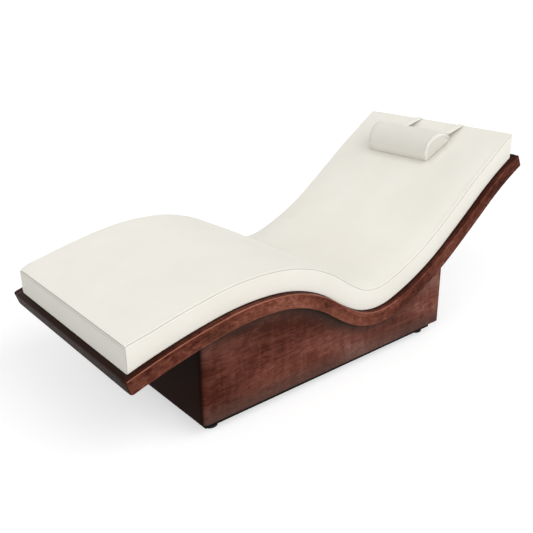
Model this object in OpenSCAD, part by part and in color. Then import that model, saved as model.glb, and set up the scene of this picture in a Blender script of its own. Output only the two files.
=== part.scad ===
// Relaxation lounger: a wave-shaped cushion in a bent wooden tray, on a closed box base
// with levelling feet, and a half-round neck pillow that slides on two straps.
// Frame: +X towards the head end, -Y is the sitter's right side, +Z up, floor at Z = 0,
// X = 0 and Y = 0 in the middle of the overall length and width.

/* [Lying curve] */
// Height of the deck's top face above the floor, at the foot end of the cushion
deck_foot_z = 306; // [270:1:340]
// Slope of the deck at the foot end, in degrees
foot_slope_angle = 17.8; // [14:0.1:21]
// Length of the foot rest along the curve
foot_l = 316; // [250:1:380]
// Bend of the foot rest, in degrees
foot_bend_angle = 8.2; // [4:0.1:12]
// Length of the calf rest along the curve
calf_l = 207; // [170:1:250]
// Bend of the calf rest, in degrees
calf_bend_angle = 14.8; // [11:0.1:18]
// Length of the knee crest along the curve
knee_l = 260; // [220:1:310]
// Bend of the knee crest, in degrees
knee_bend_angle = 32.1; // [27:0.1:36]
// Length of the thigh rest along the curve
thigh_l = 104; // [80:1:140]
// Bend of the thigh rest, in degrees
thigh_bend_angle = 8.1; // [4:0.1:12]
// Length of the seat hollow along the curve
seat_l = 205; // [180:1:240]
// Bend of the seat hollow, in degrees
seat_bend_angle = 46.3; // [40:0.1:50]
// Length of the lumbar rest along the curve
lumbar_l = 321; // [270:1:370]
// Bend of the lumbar rest, in degrees
lumbar_bend_angle = 18.9; // [15:0.1:22]
// Length of the back rest along the curve
back_l = 233; // [190:1:280]
// Bend of the back rest, in degrees
back_bend_angle = 1.4; // [0.5:0.1:4]
// Length of the head rest along the curve
head_l = 218; // [200:1:260]
// Bend of the head rest, in degrees
head_bend_angle = 9.9; // [6:0.1:13]

/* [Tray] */
// Play between the cushion and the tray's sides
side_play = 1; // [0.5:0.5:6]
// Thickness of a side rail
rail_t = 22; // [18:0.5:28]
// Depth of the rails below the deck's top face
rail_h = 46.5; // [38:0.5:60]
// Length of tray past the cushion at the foot end
foot_lip = 19; // [12:0.5:30]
// Length of tray past the cushion at the head end
head_lip = 29; // [15:0.5:40]
// Thickness of the foot rail and head rail
end_rail_t = 22; // [18:0.5:28]
// Thickness of the bent deck
deck_t = 18; // [14:0.5:22]

/* [Cushion] */
// Width of the cushion
cushion_w = 716; // [630:1:760]
// Height of the cushion's side, up to the seam
side_h = 73; // [60:1:90]
// Rise of the crown above the seam
crown_h = 5; // [2:0.5:12]
// Height of the cushion at the foot end
foot_end_h = 78; // [64:1:96]
// Height of the cushion at the head end
head_end_h = 84; // [64:1:100]
// Thickness of the cover material
cover_t = 1.5; // [1:0.1:2.5]
// Height of the firm foam, above the deck
firm_foam_h = 50; // [40:1:55]

/* [Pillow] */
// Length of the pillow across the lounger
pillow_l = 310; // [260:1:360]
// Radius of the half-round pillow
pillow_r = 72; // [60:1:85]
// Distance of the pillow's middle from the cushion's head end, along the curve
pillow_in = 116; // [100:1:180]
// Place of the pillow's middle across the lounger
pillow_y = 36; // [-40:1:60]
// Width of a strap
strap_w = 29; // [20:1:40]
// Thickness of a strap
strap_t = 2.5; // [1.5:0.1:4]
// Distance between the two straps' middles
strap_pitch = 212; // [150:1:240]
// Place between the two straps across the lounger
strap_y = -16; // [-40:1:40]
// Height of the straps' ends above the pillow's flat side
strap_h = 30; // [20:1:40]
// Length of a strap's tail down the head end
strap_tail = 70; // [60:1:80]

/* [Base] */
// Place of the base's foot end, from the middle of the overall length
base_foot = 630; // [560:1:660]
// Place of the base's head end, from the middle of the overall length
base_head = 466; // [430:1:520]
// Setback of the base from the tray's sides
base_in = 24; // [23:0.5:60]
// Thickness of the base panels
panel_t = 18; // [15:0.5:22]
// Side of a corner post
post_w = 45; // [38:1:55]
// Radius of the base's upright corners
corner_r = 20; // [8:1:30]
// Thickness of the curved bearers
bearer_t = 22; // [18:0.5:30]
// Depth of the curved bearers
bearer_h = 60; // [45:1:70]
// Thickness of the two cross bulkheads
bulkhead_t = 18; // [15:0.5:22]
// Thickness of the bottom board
bottom_t = 12; // [9:0.5:16]
// Side of the square bottom cleats
cleat_w = 25; // [20:1:32]

/* [Plinth and levelling feet] */
// Height of the plinth runners
plinth_h = 19; // [16:1:26]
// Width of the plinth runners
plinth_w = 90; // [80:1:100]
// Width of the plinth cross-pieces
cross_w = 60; // [50:1:70]
// Setback of the plinth from the base's sides
plinth_in = 14; // [10:1:18]
// Setback of the plinth from the base's foot end
plinth_foot_in = 14; // [10:1:18]
// Setback of the plinth from the base's head end
plinth_head_in = 46; // [40:1:52]
// From the base's sides to the middle of a pad
pad_in = 57; // [56:1:66]
// From the base's foot end to the middle of a pad
pad_foot_in = 58; // [57:1:64]
// From the base's head end to the middle of a pad
pad_head_in = 72; // [72:1:85]
// Diameter of a foot pad
pad_d = 50; // [40:1:60]
// Height of a foot pad
pad_h = 14; // [10:1:18]
// Diameter of the levelling stud
stud_d = 12; // [8:0.5:14]
// Width of the jam nut over its flats
nut_af = 19; // [17:0.5:24]
// Height of the jam nut
nut_h = 8; // [6:0.5:10]
// Travel of a levelling foot
foot_travel = 12; // [8:1:16]

/* [Fasteners] */
// Diameter of the dowels
dowel_d = 8; // [6:0.5:10]
// Length of the dowels
dowel_l = 36; // [30:1:40]
// Diameter of the wood screws
screw_d = 4.5; // [3.5:0.5:6]
// Length of the deck screws
screw_l = 55; // [40:1:65]
// Diameter of a screw's head
screw_head_d = 9; // [8:0.5:12]

/* [Hidden] */
// Gap between faces that are glued or rest on each other
seat_gap = 0.3;
// Radial gap of pins and screws in their holes
pin_gap = 0.05;
// Overrun of a cut past the face that it opens
overrun = 5;
// Places nearer than this count as one
same_place = 0.05;
// Steps of the curve
step_angle = 3.5;
step_l = 55;
straight_angle = 0.001;
fine = 48;

ivory = [0.91, 0.90, 0.86];
mahogany = [0.36, 0.15, 0.11];
blackened = [0.05, 0.05, 0.05];
foam_grey = [0.75, 0.75, 0.72];
foam_yellow = [0.93, 0.90, 0.78];
birch = [0.80, 0.68, 0.50];
zinc = [0.72, 0.73, 0.75];

// The lying curve is a chain of arcs: lengths and turns, a positive turn bends upwards
run_l = [foot_l, calf_l, knee_l, thigh_l, seat_l, lumbar_l, back_l, head_l];
run_turn = [-foot_bend_angle, -calf_bend_angle, -knee_bend_angle, thigh_bend_angle,
    seat_bend_angle, lumbar_bend_angle, back_bend_angle, -head_bend_angle];
runs = len(run_l);
function sum_to(v, n) = n <= 0 ? v[0] * 0 : v[n - 1] + sum_to(v, n - 1);
run_s = [for (i = [0:runs]) sum_to(run_l, i)];
run_h = [for (i = [0:runs]) foot_slope_angle + sum_to(run_turn, i)];
function chord(l, turn) = abs(turn) < straight_angle ? l : l * sin(turn / 2) / (turn / 2 * PI / 180);
function run_step(l, h, turn) = chord(l, turn) * [cos(h + turn / 2), sin(h + turn / 2)];
run_p = [for (i = [0:runs]) i == 0 ? [0, 0]
    : sum_to([for (k = [0:runs - 1]) run_step(run_l[k], run_h[k], run_turn[k])], i)];
curve_l = run_s[runs];

function run_at(s) = max([for (i = [0:runs - 1]) s >= run_s[i] ? i : 0]);
function heading(s) = s <= 0 ? run_h[0] : s >= curve_l ? run_h[runs]
    : let(i = run_at(s)) run_h[i] + run_turn[i] * (s - run_s[i]) / run_l[i];
function dir(a) = [cos(a), sin(a)];
function up(a) = [-sin(a), cos(a)];
function raw_curve(s) = s < 0 ? s * dir(run_h[0])
    : s > curve_l ? run_p[runs] + (s - curve_l) * dir(run_h[runs])
    : let(i = run_at(s), u = s - run_s[i]) run_p[i] + run_step(u, run_h[i], run_turn[i] * u / run_l[i]);

// The tray's ends are square to the deck, and its middle is at X = 0
tray_ends = [for (s = [-foot_lip, curve_l + head_lip], o = [0, -rail_h])
    (raw_curve(s) + o * up(heading(s)))[0]];
mid_x = (min(tray_ends) + max(tray_ends)) / 2;
function on_curve(s, o) = raw_curve(s) + o * up(heading(s)) + [-mid_x, deck_foot_z];

// Places along the curve where every outline has a point; between them it is straight
stations = [for (i = [0:runs - 1]) let(n = ceil(max(abs(run_turn[i]) / step_angle, run_l[i] / step_l)))
    for (k = [0:n - 1]) run_s[i] + run_l[i] * k / n, curve_l];
function station_at(s) = max([for (i = [0:len(stations) - 2]) s >= stations[i] ? i : 0]);
function deck_pt(s, o = 0) = s <= 0 || s >= curve_l ? on_curve(s, o)
    : let(i = station_at(s), s0 = stations[i], s1 = stations[i + 1], t = (s - s0) / (s1 - s0))
        (1 - t) * on_curve(s0, o) + t * on_curve(s1, o);
function between(s0, s1) = [s0, for (s = stations) if (s > s0 + same_place && s < s1 - same_place) s, s1];
function reversed(v) = [for (i = [len(v) - 1:-1:0]) v[i]];
function band(s0, s1, o0, o1) = let(ss = between(s0, s1))
    concat([for (s = ss) deck_pt(s, o1)], reversed([for (s = ss) deck_pt(s, o0)]));
// The place along the curve where an offset line passes over a given X
function s_at(x, o, lo = 0, hi = curve_l, n = 40) = n == 0 ? (lo + hi) / 2
    : deck_pt((lo + hi) / 2, o)[0] < x ? s_at(x, o, (lo + hi) / 2, hi, n - 1)
    : s_at(x, o, lo, (lo + hi) / 2, n - 1);

// Outlines are drawn in the X and Z plane and extruded across the lounger
module across(y0, y1) {
    translate([0, y1, 0]) rotate([90, 0, 0]) linear_extrude(height = y1 - y0) children();
}
// Moves to a place on the deck, with local Z along the outward normal
module on_deck(s, y, o = 0) {
    p = deck_pt(s, o);
    translate([p[0], y, p[1]]) rotate([0, -heading(s), 0]) children();
}
module box(x0, x1, y0, y1, z0, z1) {
    translate([x0, y0, z0]) cube([x1 - x0, y1 - y0, z1 - z0]);
}

// Cushion

// Near both ends the cushion's cross-lines turn from square to the deck to plumb
plumb_l = 160;
end_rise_l = 120;
edge_l = 9;
end_soft = 6;
shoulder_y = 9;
crown_y = 70;
side_in = 3;
seam_in = 1;
rim_gap = 0.4;
shoulder_share = 0.44;
crown_share = 0.75;
function smooth(t) = let(u = max(0, min(1, t))) u * u * (3 - 2 * u);
function lean(s) = heading(s) * smooth(min(s, curve_l - s) / plumb_l);
function cushion_pt(s, h) = deck_pt(s) + h / cos(heading(s) - lean(s)) * up(lean(s));
function seam_h(s) = side_h + (foot_end_h - side_h) * (1 - smooth(s / end_rise_l))
    + (head_end_h - side_h) * (1 - smooth((curve_l - s) / end_rise_l));
// Share of the crown's rise at a distance from the nearest edge
function rise_share(d) = d <= 0 ? 0
    : d < shoulder_y ? shoulder_share * d / shoulder_y
    : d < crown_y ? shoulder_share + (crown_share - shoulder_share) * (d - shoulder_y) / (crown_y - shoulder_y)
    : min(1, crown_share + (1 - crown_share) * (d - crown_y) / (cushion_w / 2 - crown_y));
function top_h(s, y) = seam_h(s) + crown_h * rise_share(cushion_w / 2 - abs(y))
    * rise_share(min(s, curve_l - s) + end_soft);
function space_pt(s, y, h) = let(p = cushion_pt(s, h)) [p[0], y, p[1]];
cushion_s = [0, edge_l, for (s = stations) if (s > 2 * edge_l && s < curve_l - 2 * edge_l) s,
    curve_l - edge_l, curve_l];
// Half of the outer section: distance from the middle, and height (a height of zero is the rim)
function outer_half(s) = let(w = cushion_w / 2) [
    [w - side_in, rim_gap], [w, seam_h(s) / 2], [w - seam_in, seam_h(s)],
    [w - shoulder_y, top_h(s, w - shoulder_y)], [w - crown_y, top_h(s, w - crown_y)],
    [w / 2, top_h(s, w / 2)]];
inner_w = cushion_w / 2 - side_in - cover_t;
function inner_half(s) = [
    [inner_w, rim_gap], [inner_w, seam_h(s) - cover_t],
    [cushion_w / 2 - crown_y, top_h(s, cushion_w / 2 - crown_y) - cover_t]];
function mirrored(half, top) = concat([for (p = half) [-p[0], p[1]]], [[0, top]], reversed(half));
function outer_ring(s) = [for (p = mirrored(outer_half(s), top_h(s, 0))) space_pt(s, p[0], p[1])];
function inner_ring(s) = [for (p = mirrored(inner_half(s), top_h(s, 0) - cover_t)) space_pt(s, p[0], p[1])];
inner_s = [cover_t, for (i = [1:len(cushion_s) - 2]) cushion_s[i], curve_l - cover_t];

// Triangles of a skin over rings of equal length; flip turns it inside out
function skin(rings, m, first, flip = false) = [for (i = [0:rings - 2], j = [0:m - 2])
    let(a = first + i * m + j, b = a + 1, c = a + m, d = c + 1)
    each (flip ? [[a, c, b], [b, c, d]] : [[a, b, c], [b, d, c]])];
// Triangles over one ring, between its two halves
function cap(m, first, flip = false) = [for (j = [0:floor((m - 1) / 2) - 1])
    let(a = first + j, b = a + 1, d = first + m - 1 - j, c = d - 1)
    each (b == c ? [flip ? [a, b, d] : [a, d, b]]
        : flip ? [[a, b, d], [b, c, d]] : [[a, d, b], [b, d, c]])];
function quad(a, b, c, d) = [[a, b, c], [a, c, d]];

// A shell of rings, closed at both ends and open underneath
module open_shell(outer, inner) {
    n = len(outer);
    m = len(outer[0]);
    k = len(inner[0]);
    f = n * m;
    o_last = (n - 1) * m;
    i_last = f + (n - 1) * k;
    rims = [for (i = [0:n - 2]) let(o = i * m, q = f + i * k) each concat(
        quad(o, o + m, q + k, q),
        quad(q + k - 1, q + 2 * k - 1, o + 2 * m - 1, o + m - 1))];
    ends = concat(quad(0, f, f + k - 1, m - 1), quad(i_last, o_last, o_last + m - 1, i_last + k - 1));
    polyhedron(concat([for (r = outer) each r], [for (r = inner) each r]),
        concat(skin(n, m, 0), skin(n, k, f, true), cap(m, 0), cap(m, o_last, true),
            cap(k, f, true), cap(k, i_last), rims, ends));
}
// A solid of rings, closed at both ends and underneath
module ring_solid(rings) {
    n = len(rings);
    m = len(rings[0]);
    under = [for (i = [0:n - 2]) let(o = i * m) each quad(o, o + m, o + 2 * m - 1, o + m - 1)];
    polyhedron([for (r = rings) each r],
        concat(skin(n, m, 0), cap(m, 0), cap(m, (n - 1) * m, true), under));
}

module cushion_cover() {
    color(ivory) open_shell([for (s = cushion_s) outer_ring(s)], [for (s = inner_s) inner_ring(s)]);
}

foam_w = inner_w - seat_gap;
foam_s = [cover_t + seat_gap, for (i = [1:len(cushion_s) - 2]) cushion_s[i], curve_l - cover_t - seat_gap];
function foam_half(s) = [[foam_w, firm_foam_h + seat_gap], [foam_w, seam_h(s) - cover_t - seat_gap],
    [cushion_w / 2 - crown_y, top_h(s, cushion_w / 2 - crown_y) - cover_t - seat_gap]];
function foam_ring(s) = [for (p = mirrored(foam_half(s), top_h(s, 0) - cover_t - seat_gap))
    space_pt(s, p[0], p[1])];
module comfort_foam() {
    color(foam_grey) ring_solid([for (s = foam_s) foam_ring(s)]);
}

// A layer of the cushion between two heights, with plumb ends
function layer(s0, s1, h0, h1) =
    let(inner = [for (s = cushion_s) if (s > s0 + edge_l / 2 && s < s1 - edge_l / 2) s],
        ss = concat([s0], inner, [s1]))
    concat([for (s = ss) cushion_pt(s, h1)], reversed([for (s = ss) cushion_pt(s, h0)]));
tape_t = 1;
cloth_t = 1;
cloth_h = 2 * tape_t + 3 * seat_gap;
foam_h0 = cloth_h + cloth_t + seat_gap;
module firm_foam() {
    color(foam_yellow) across(-foam_w, foam_w)
        polygon(layer(cover_t + seat_gap, curve_l - cover_t - seat_gap, foam_h0, firm_foam_h));
}
module bottom_cloth() {
    color(blackened) across(-foam_w, foam_w)
        polygon(layer(cover_t + seat_gap, curve_l - cover_t - seat_gap, cloth_h, cloth_h + cloth_t));
}

// Hook and loop tapes hold the cushion in its tray
tape_w = 50;
tape_side = 78;
tape_share = [0.06, 0.29, 0.5, 0.7, 0.93];
module tapes(h0) {
    for (share = tape_share)
        across(tape_side - cushion_w / 2, cushion_w / 2 - tape_side)
            polygon(band(share * curve_l - tape_w / 2, share * curve_l + tape_w / 2, h0, h0 + tape_t));
}
module cushion_loop_tapes() {
    color("white") tapes(tape_t + 2 * seat_gap);
}
module deck_hook_tapes() {
    color(blackened) tapes(seat_gap);
}

// Neck pillow: a half-round bolster, flat side down, in a frame on the cushion's top face

function crest(s) = space_pt(s, pillow_y, top_h(s, pillow_y));
pillow_s = curve_l - pillow_in;
pillow_a = let(d = crest(pillow_s + pillow_r) - crest(pillow_s - pillow_r)) atan2(d[2], d[0]);
pillow_lift = 0.9;
pillow_at = crest(pillow_s) + pillow_lift * [-sin(pillow_a), 0, cos(pillow_a)];
module on_pillow() {
    translate(pillow_at) rotate([0, -pillow_a, 0]) children();
}
pillow_base_t = 1.5;
pillow_round = 7;
pillow_full = 1.5;
pillow_sides = 20;
round_angles = [0, 30, 60, 90];
full_share = [0.5, 0, -0.5];
// Along the pillow from one end to the other: place, and inset of the outline
function pillow_steps(half, round) = concat(
    [for (a = round_angles) [half - round * (1 - cos(a)), round * (1 - sin(a))]],
    [for (q = full_share) [q * half, -pillow_full * (1 - q * q)]],
    [for (a = reversed(round_angles)) [-half + round * (1 - cos(a)), round * (1 - sin(a))]]);
function half_ring(y, r, low, sides) = [for (i = [0:sides])
    let(a = 180 * i / sides) [-r * cos(a), y, max(low, r * sin(a))]];
function pillow_rings(inset, low, sides) = [for (p = pillow_steps(pillow_l / 2 - inset, pillow_round))
    half_ring(p[0], pillow_r - inset - p[1], low, sides)];
module pillow_cover() {
    color(ivory) on_pillow()
        open_shell(pillow_rings(0, 0, pillow_sides), pillow_rings(cover_t, 0, pillow_sides / 2));
}
module pillow_core() {
    inset = cover_t + seat_gap;
    color(foam_grey) on_pillow()
        ring_solid(pillow_rings(inset + seat_gap, pillow_base_t + 2 * seat_gap, pillow_sides / 2));
}
module pillow_base() {
    w = pillow_r - cover_t - pillow_round - seat_gap;
    h = pillow_l / 2 - cover_t - seat_gap;
    color(ivory) on_pillow() box(-w, w, -h, h, seat_gap, seat_gap + pillow_base_t);
}

// The straps run from the pillow over the cushion's head edge and down to their patches
patch_t = 1.5;
patch_h = 60;
strap_step_angle = 15;
head_edge = [deck_pt(curve_l)[0], cushion_pt(curve_l, head_end_h)[1]];
strap_in = patch_t + 2 * seat_gap;
strap_x = sqrt(pow(pillow_r + pillow_full, 2) - pow(strap_h, 2)) + seat_gap;
strap_from = [pillow_at[0], pillow_at[2]] + strap_x * dir(pillow_a) + strap_h * up(pillow_a);
strap_to_edge = head_edge - strap_from;
strap_a = atan2(strap_to_edge[1], strap_to_edge[0]) + asin(strap_in / norm(strap_to_edge));
strap_turns = [for (a = [strap_a + 90:-strap_step_angle:strap_step_angle / 2]) a, 0];
function strap_line(off) = concat([strap_from + off * up(strap_a)],
    [for (a = strap_turns) head_edge + (strap_in + off) * dir(a)],
    [head_edge + [strap_in + off, -strap_tail]]);
module strap(y) {
    color(ivory) across(y - strap_w / 2, y + strap_w / 2)
        polygon(concat(strap_line(0), reversed(strap_line(strap_t))));
}
module strap_right() {
    strap(strap_y - strap_pitch / 2);
}
module strap_left() {
    strap(strap_y + strap_pitch / 2);
}
module strap_patches() {
    x = head_edge[0] + seat_gap;
    z = head_edge[1] - strap_tail;
    color(ivory)
        for (y = [strap_y - strap_pitch / 2, strap_y + strap_pitch / 2])
            box(x, x + patch_t, y - strap_w / 2, y + strap_w / 2, z, z + patch_h);
}

// Tray: a bent deck between two curved side rails and two end rails

deck_w = cushion_w + 2 * side_play;
tray_w = deck_w + 2 * rail_t;
tray_s0 = -foot_lip;
tray_s1 = curve_l + head_lip;
deck_mid = -deck_t / 2;
dowel_share = [0.04, 0.17, 0.3, 0.43, 0.57, 0.7, 0.83, 0.96];
rail_dowel_in = 14;
end_dowel_share = [0.3, 0.72];
bore_r = dowel_d / 2 + pin_gap;

module dowel(r, l) {
    rotate([90, 0, 0]) cylinder(h = l, r = r, center = true, $fn = fine);
}
// Dowels between the deck and the side rail on one side
module rail_dowel_set(side, r, extra = 0) {
    y = deck_w / 2 + rail_dowel_in - dowel_l / 2;
    for (share = dowel_share) {
        on_deck(share * curve_l, side * y, deck_mid) dowel(r, dowel_l + 2 * extra);
    }
}
// Dowels between the end rails and the side rail on one side
module end_dowel_set(side, r, extra = 0) {
    y = deck_w / 2 + rail_dowel_in - dowel_l / 2;
    for (s = [tray_s0 + end_rail_t / 2, tray_s1 - end_rail_t / 2], share = end_dowel_share) {
        on_deck(s, side * y, -share * rail_h) dowel(r, dowel_l + 2 * extra);
    }
}
module rail_dowels() {
    color(birch)
        for (side = [-1, 1]) rail_dowel_set(side, dowel_d / 2);
}
module end_rail_dowels() {
    color(birch)
        for (side = [-1, 1]) end_dowel_set(side, dowel_d / 2);
}
module side_rail(side) {
    inner = side > 0 ? deck_w / 2 : -tray_w / 2;
    color(mahogany) difference() {
        across(inner, inner + rail_t) polygon(band(tray_s0, tray_s1, -rail_h, 0));
        rail_dowel_set(side, bore_r, seat_gap);
        end_dowel_set(side, bore_r, seat_gap);
    }
}
module side_rail_right() {
    side_rail(-1);
}
module side_rail_left() {
    side_rail(1);
}
module end_rail(s0) {
    color(mahogany) difference() {
        across(-deck_w / 2, deck_w / 2) polygon(band(s0, s0 + end_rail_t, -rail_h, 0));
        for (side = [-1, 1]) end_dowel_set(side, bore_r, seat_gap);
    }
}
module foot_rail() {
    end_rail(tray_s0);
}
module head_rail() {
    end_rail(tray_s1 - end_rail_t);
}

// Countersunk wood screw, head uppermost at Z = 0
screw_tip = 8;
screw_tip_r = 0.6;
screw_clear = 0.25;
screw_cone = (screw_head_d - screw_d) / 2;
module screw(l) {
    translate([0, 0, -screw_cone]) cylinder(h = screw_cone, d1 = screw_d, d2 = screw_head_d, $fn = fine);
    translate([0, 0, screw_tip - l]) cylinder(h = l - screw_tip - screw_cone, d = screw_d, $fn = fine);
    translate([0, 0, -l]) cylinder(h = screw_tip, r1 = screw_tip_r, d2 = screw_d, $fn = fine);
}
// Hole through a board of thickness t, with its countersink
module screw_hole(t) {
    r = screw_d / 2 + screw_clear;
    translate([0, 0, -t - overrun]) cylinder(h = t + 2 * overrun, r = r, $fn = fine);
    translate([0, 0, -screw_cone]) cylinder(h = screw_cone + overrun, r1 = r,
        r2 = r + screw_cone + overrun, $fn = fine);
}
module pilot_hole(l) {
    translate([0, 0, -l - seat_gap]) cylinder(h = l + overrun, r = screw_d / 2 + pin_gap, $fn = fine);
}

// Base box

half_w = tray_w / 2 - base_in;
inner_y = half_w - panel_t;
base_x0 = -base_foot;
base_x1 = base_head;
under = -deck_t - seat_gap;
washer_t = 3;
washer_rim = 2.5;
plinth_z = pad_h + nut_h + washer_t;
board_z = plinth_z + plinth_h;
board_top = board_z + bottom_t;
panel_z = board_z;

// Outline from a level bottom up to the underside of the deck
function under_deck(x0, x1, z0) = concat([[x0, z0]],
    [for (s = between(s_at(x0, under), s_at(x1, under))) deck_pt(s, under)], [[x1, z0]]);

bearer_s0 = s_at(base_x0 + post_w + seat_gap, under);
bearer_s1 = s_at(base_x1 - post_w - bearer_h, under);
bearer_share = [0.05, 0.23, 0.41, 0.59, 0.77, 0.95];
bearer_y = inner_y - bearer_t / 2;
module deck_screw_places() {
    for (side = [-1, 1], share = bearer_share) {
        on_deck(bearer_s0 + share * (bearer_s1 - bearer_s0), side * bearer_y) children();
    }
}
module deck_screws() {
    color(zinc) deck_screw_places() screw(screw_l);
}
module deck() {
    color(birch) difference() {
        across(-deck_w / 2, deck_w / 2)
            polygon(band(tray_s0 + end_rail_t, tray_s1 - end_rail_t, -deck_t, 0));
        for (side = [-1, 1]) rail_dowel_set(side, bore_r, seat_gap);
        deck_screw_places() screw_hole(deck_t);
    }
}
module bearer(side) {
    y0 = side > 0 ? inner_y - bearer_t : -inner_y;
    color(birch) difference() {
        across(y0, y0 + bearer_t) polygon(band(bearer_s0, bearer_s1, under - bearer_h, under));
        deck_screw_places() pilot_hole(screw_l);
    }
}
module bearer_right() {
    bearer(-1);
}
module bearer_left() {
    bearer(1);
}

// Dowels between panels and corner posts, at two heights
low_dowel = 45;
high_dowel = 95;
panel_mid = half_w - panel_t / 2;
module side_dowel_set(side, r, extra = 0) {
    for (x = [base_x0 + post_w, base_x1 - post_w], h = [low_dowel, high_dowel]) {
        translate([x, side * panel_mid, panel_z + h]) rotate([0, 0, 90]) dowel(r, dowel_l + 2 * extra);
    }
}
module end_panel_dowel_set(end, r, extra = 0) {
    x = end > 0 ? base_x1 - panel_t / 2 : base_x0 + panel_t / 2;
    for (side = [-1, 1], h = [low_dowel, high_dowel]) {
        translate([x, side * (half_w - post_w), panel_z + h]) dowel(r, dowel_l + 2 * extra);
    }
}
module panel_dowels() {
    color(birch)
        for (side = [-1, 1]) {
            side_dowel_set(side, dowel_d / 2);
            end_panel_dowel_set(side, dowel_d / 2);
        }
}
module side_panel(side) {
    y0 = side > 0 ? inner_y : -half_w;
    color(mahogany) difference() {
        across(y0, y0 + panel_t) polygon(under_deck(base_x0 + post_w, base_x1 - post_w, panel_z));
        side_dowel_set(side, bore_r, seat_gap);
    }
}
module side_panel_right() {
    side_panel(-1);
}
module side_panel_left() {
    side_panel(1);
}
module end_panel(end) {
    x0 = end > 0 ? base_x1 - panel_t : base_x0;
    y = half_w - post_w;
    color(mahogany) difference() {
        across(-y, y) polygon(under_deck(x0, x0 + panel_t, panel_z));
        end_panel_dowel_set(end, bore_r, seat_gap);
    }
}
module foot_panel() {
    end_panel(-1);
}
module head_panel() {
    end_panel(1);
}

// Plan of a corner post, its rounded corner towards -X and -Y
corner_step_angle = 11.25;
post_plan = concat([[post_w, 0], [post_w, post_w], [0, post_w]],
    [for (a = [180:corner_step_angle:270]) [corner_r, corner_r] + corner_r * dir(a)]);
module post(end, side) {
    x0 = end > 0 ? base_x1 - post_w : base_x0;
    y0 = side > 0 ? half_w - post_w : -half_w;
    color(mahogany) difference() {
        intersection() {
            across(y0, y0 + post_w) polygon(under_deck(x0, x0 + post_w, panel_z));
            translate([end > 0 ? base_x1 : base_x0, side * half_w, 0])
                mirror([end > 0 ? 1 : 0, 0, 0]) mirror([0, side > 0 ? 1 : 0, 0])
                    linear_extrude(height = deck_foot_z * 2) polygon(post_plan);
        }
        side_dowel_set(side, bore_r, seat_gap);
        end_panel_dowel_set(end, bore_r, seat_gap);
    }
}
module post_foot_right() {
    post(-1, -1);
}
module post_foot_left() {
    post(-1, 1);
}
module post_head_right() {
    post(1, -1);
}
module post_head_left() {
    post(1, 1);
}

bulkhead_share = [0.34, 0.7];
module bulkhead(share) {
    x0 = base_x0 + share * (base_x1 - base_x0);
    bearer_side = inner_y - bearer_t - seat_gap;
    cleat_side = inner_y - cleat_w - seat_gap;
    color(birch) difference() {
        across(-inner_y, inner_y) polygon(under_deck(x0, x0 + bulkhead_t, board_top));
        for (side = [-1, 1]) {
            across(side > 0 ? bearer_side : -inner_y - overrun, side > 0 ? inner_y + overrun : -bearer_side)
                polygon(band(bearer_s0, bearer_s1, under - bearer_h - seat_gap, overrun));
            translate([0, side * (inner_y + cleat_side) / 2, 0])
                box(x0 - overrun, x0 + bulkhead_t + overrun, (cleat_side - inner_y) / 2,
                    (inner_y - cleat_side) / 2, board_top - overrun, board_top + cleat_w + seat_gap);
        }
    }
}
module bulkhead_foot() {
    bulkhead(bulkhead_share[0]);
}
module bulkhead_head() {
    bulkhead(bulkhead_share[1]);
}

cleat_y = inner_y - cleat_w / 2;
cleat_x0 = base_x0 + post_w + seat_gap;
cleat_x1 = base_x1 - post_w - seat_gap;
bottom_screw_l = 32;
bottom_screw_share = [0.06, 0.35, 0.65, 0.94];
// Screws that point up, heads flush with the underside of a board at height z
module up_screws(z, l, y, share_list, x0, x1) {
    for (side = [-1, 1], share = share_list) {
        translate([x0 + share * (x1 - x0), side * y, z]) mirror([0, 0, 1]) children();
    }
}
module bottom_screws() {
    color(zinc) up_screws(board_z, bottom_screw_l, cleat_y, bottom_screw_share, cleat_x0, cleat_x1)
        screw(bottom_screw_l);
}
module cleat(side) {
    color(birch) difference() {
        box(cleat_x0, cleat_x1, side * cleat_y - cleat_w / 2, side * cleat_y + cleat_w / 2,
            board_top, board_top + cleat_w);
        up_screws(board_z, bottom_screw_l, cleat_y, bottom_screw_share, cleat_x0, cleat_x1)
            pilot_hole(bottom_screw_l);
    }
}
module cleat_right() {
    cleat(-1);
}
module cleat_left() {
    cleat(1);
}

// Plinth and feet

runner_x0 = base_x0 + plinth_foot_in;
runner_x1 = base_x1 - plinth_head_in;
runner_y = half_w - plinth_in - plinth_w / 2;
foot_x = [base_x0 + pad_foot_in, base_x1 - pad_head_in];
foot_y = half_w - pad_in;
tee_d = 15;
tee_flange_d = 28;
tee_flange_t = 2;
tee_clear = 1;
tee_hold = 2;
tee_l = 17;
stud_clear = 0.5;
plinth_screw_l = 28;
plinth_screw_share = [0.12, 0.37, 0.63, 0.88];
module foot_places() {
    for (x = foot_x, side = [-1, 1]) {
        translate([x, side * foot_y, 0]) children();
    }
}
module plinth_screw_places() {
    up_screws(plinth_z, plinth_screw_l, runner_y, plinth_screw_share, runner_x0, runner_x1) children();
}
module plinth_screws() {
    color(zinc) plinth_screw_places() screw(plinth_screw_l);
}
module bottom_board() {
    x0 = base_x0 + panel_t + seat_gap;
    x1 = base_x1 - panel_t - seat_gap;
    y = inner_y - seat_gap;
    n = post_w - panel_t;
    color(birch) difference() {
        box(x0, x1, -y, y, board_z, board_top);
        for (cx = [x0, x1], cy = [-y, y]) {
            box(cx - n, cx + n, cy - n, cy + n, board_z - overrun, board_top + overrun);
        }
        up_screws(board_z, bottom_screw_l, cleat_y, bottom_screw_share, cleat_x0, cleat_x1)
            screw_hole(bottom_t);
        plinth_screw_places() pilot_hole(plinth_screw_l);
        foot_places() translate([0, 0, board_z - overrun])
            cylinder(h = bottom_t + 2 * overrun, d = tee_flange_d + 2 * tee_clear, $fn = fine);
    }
}
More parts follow.
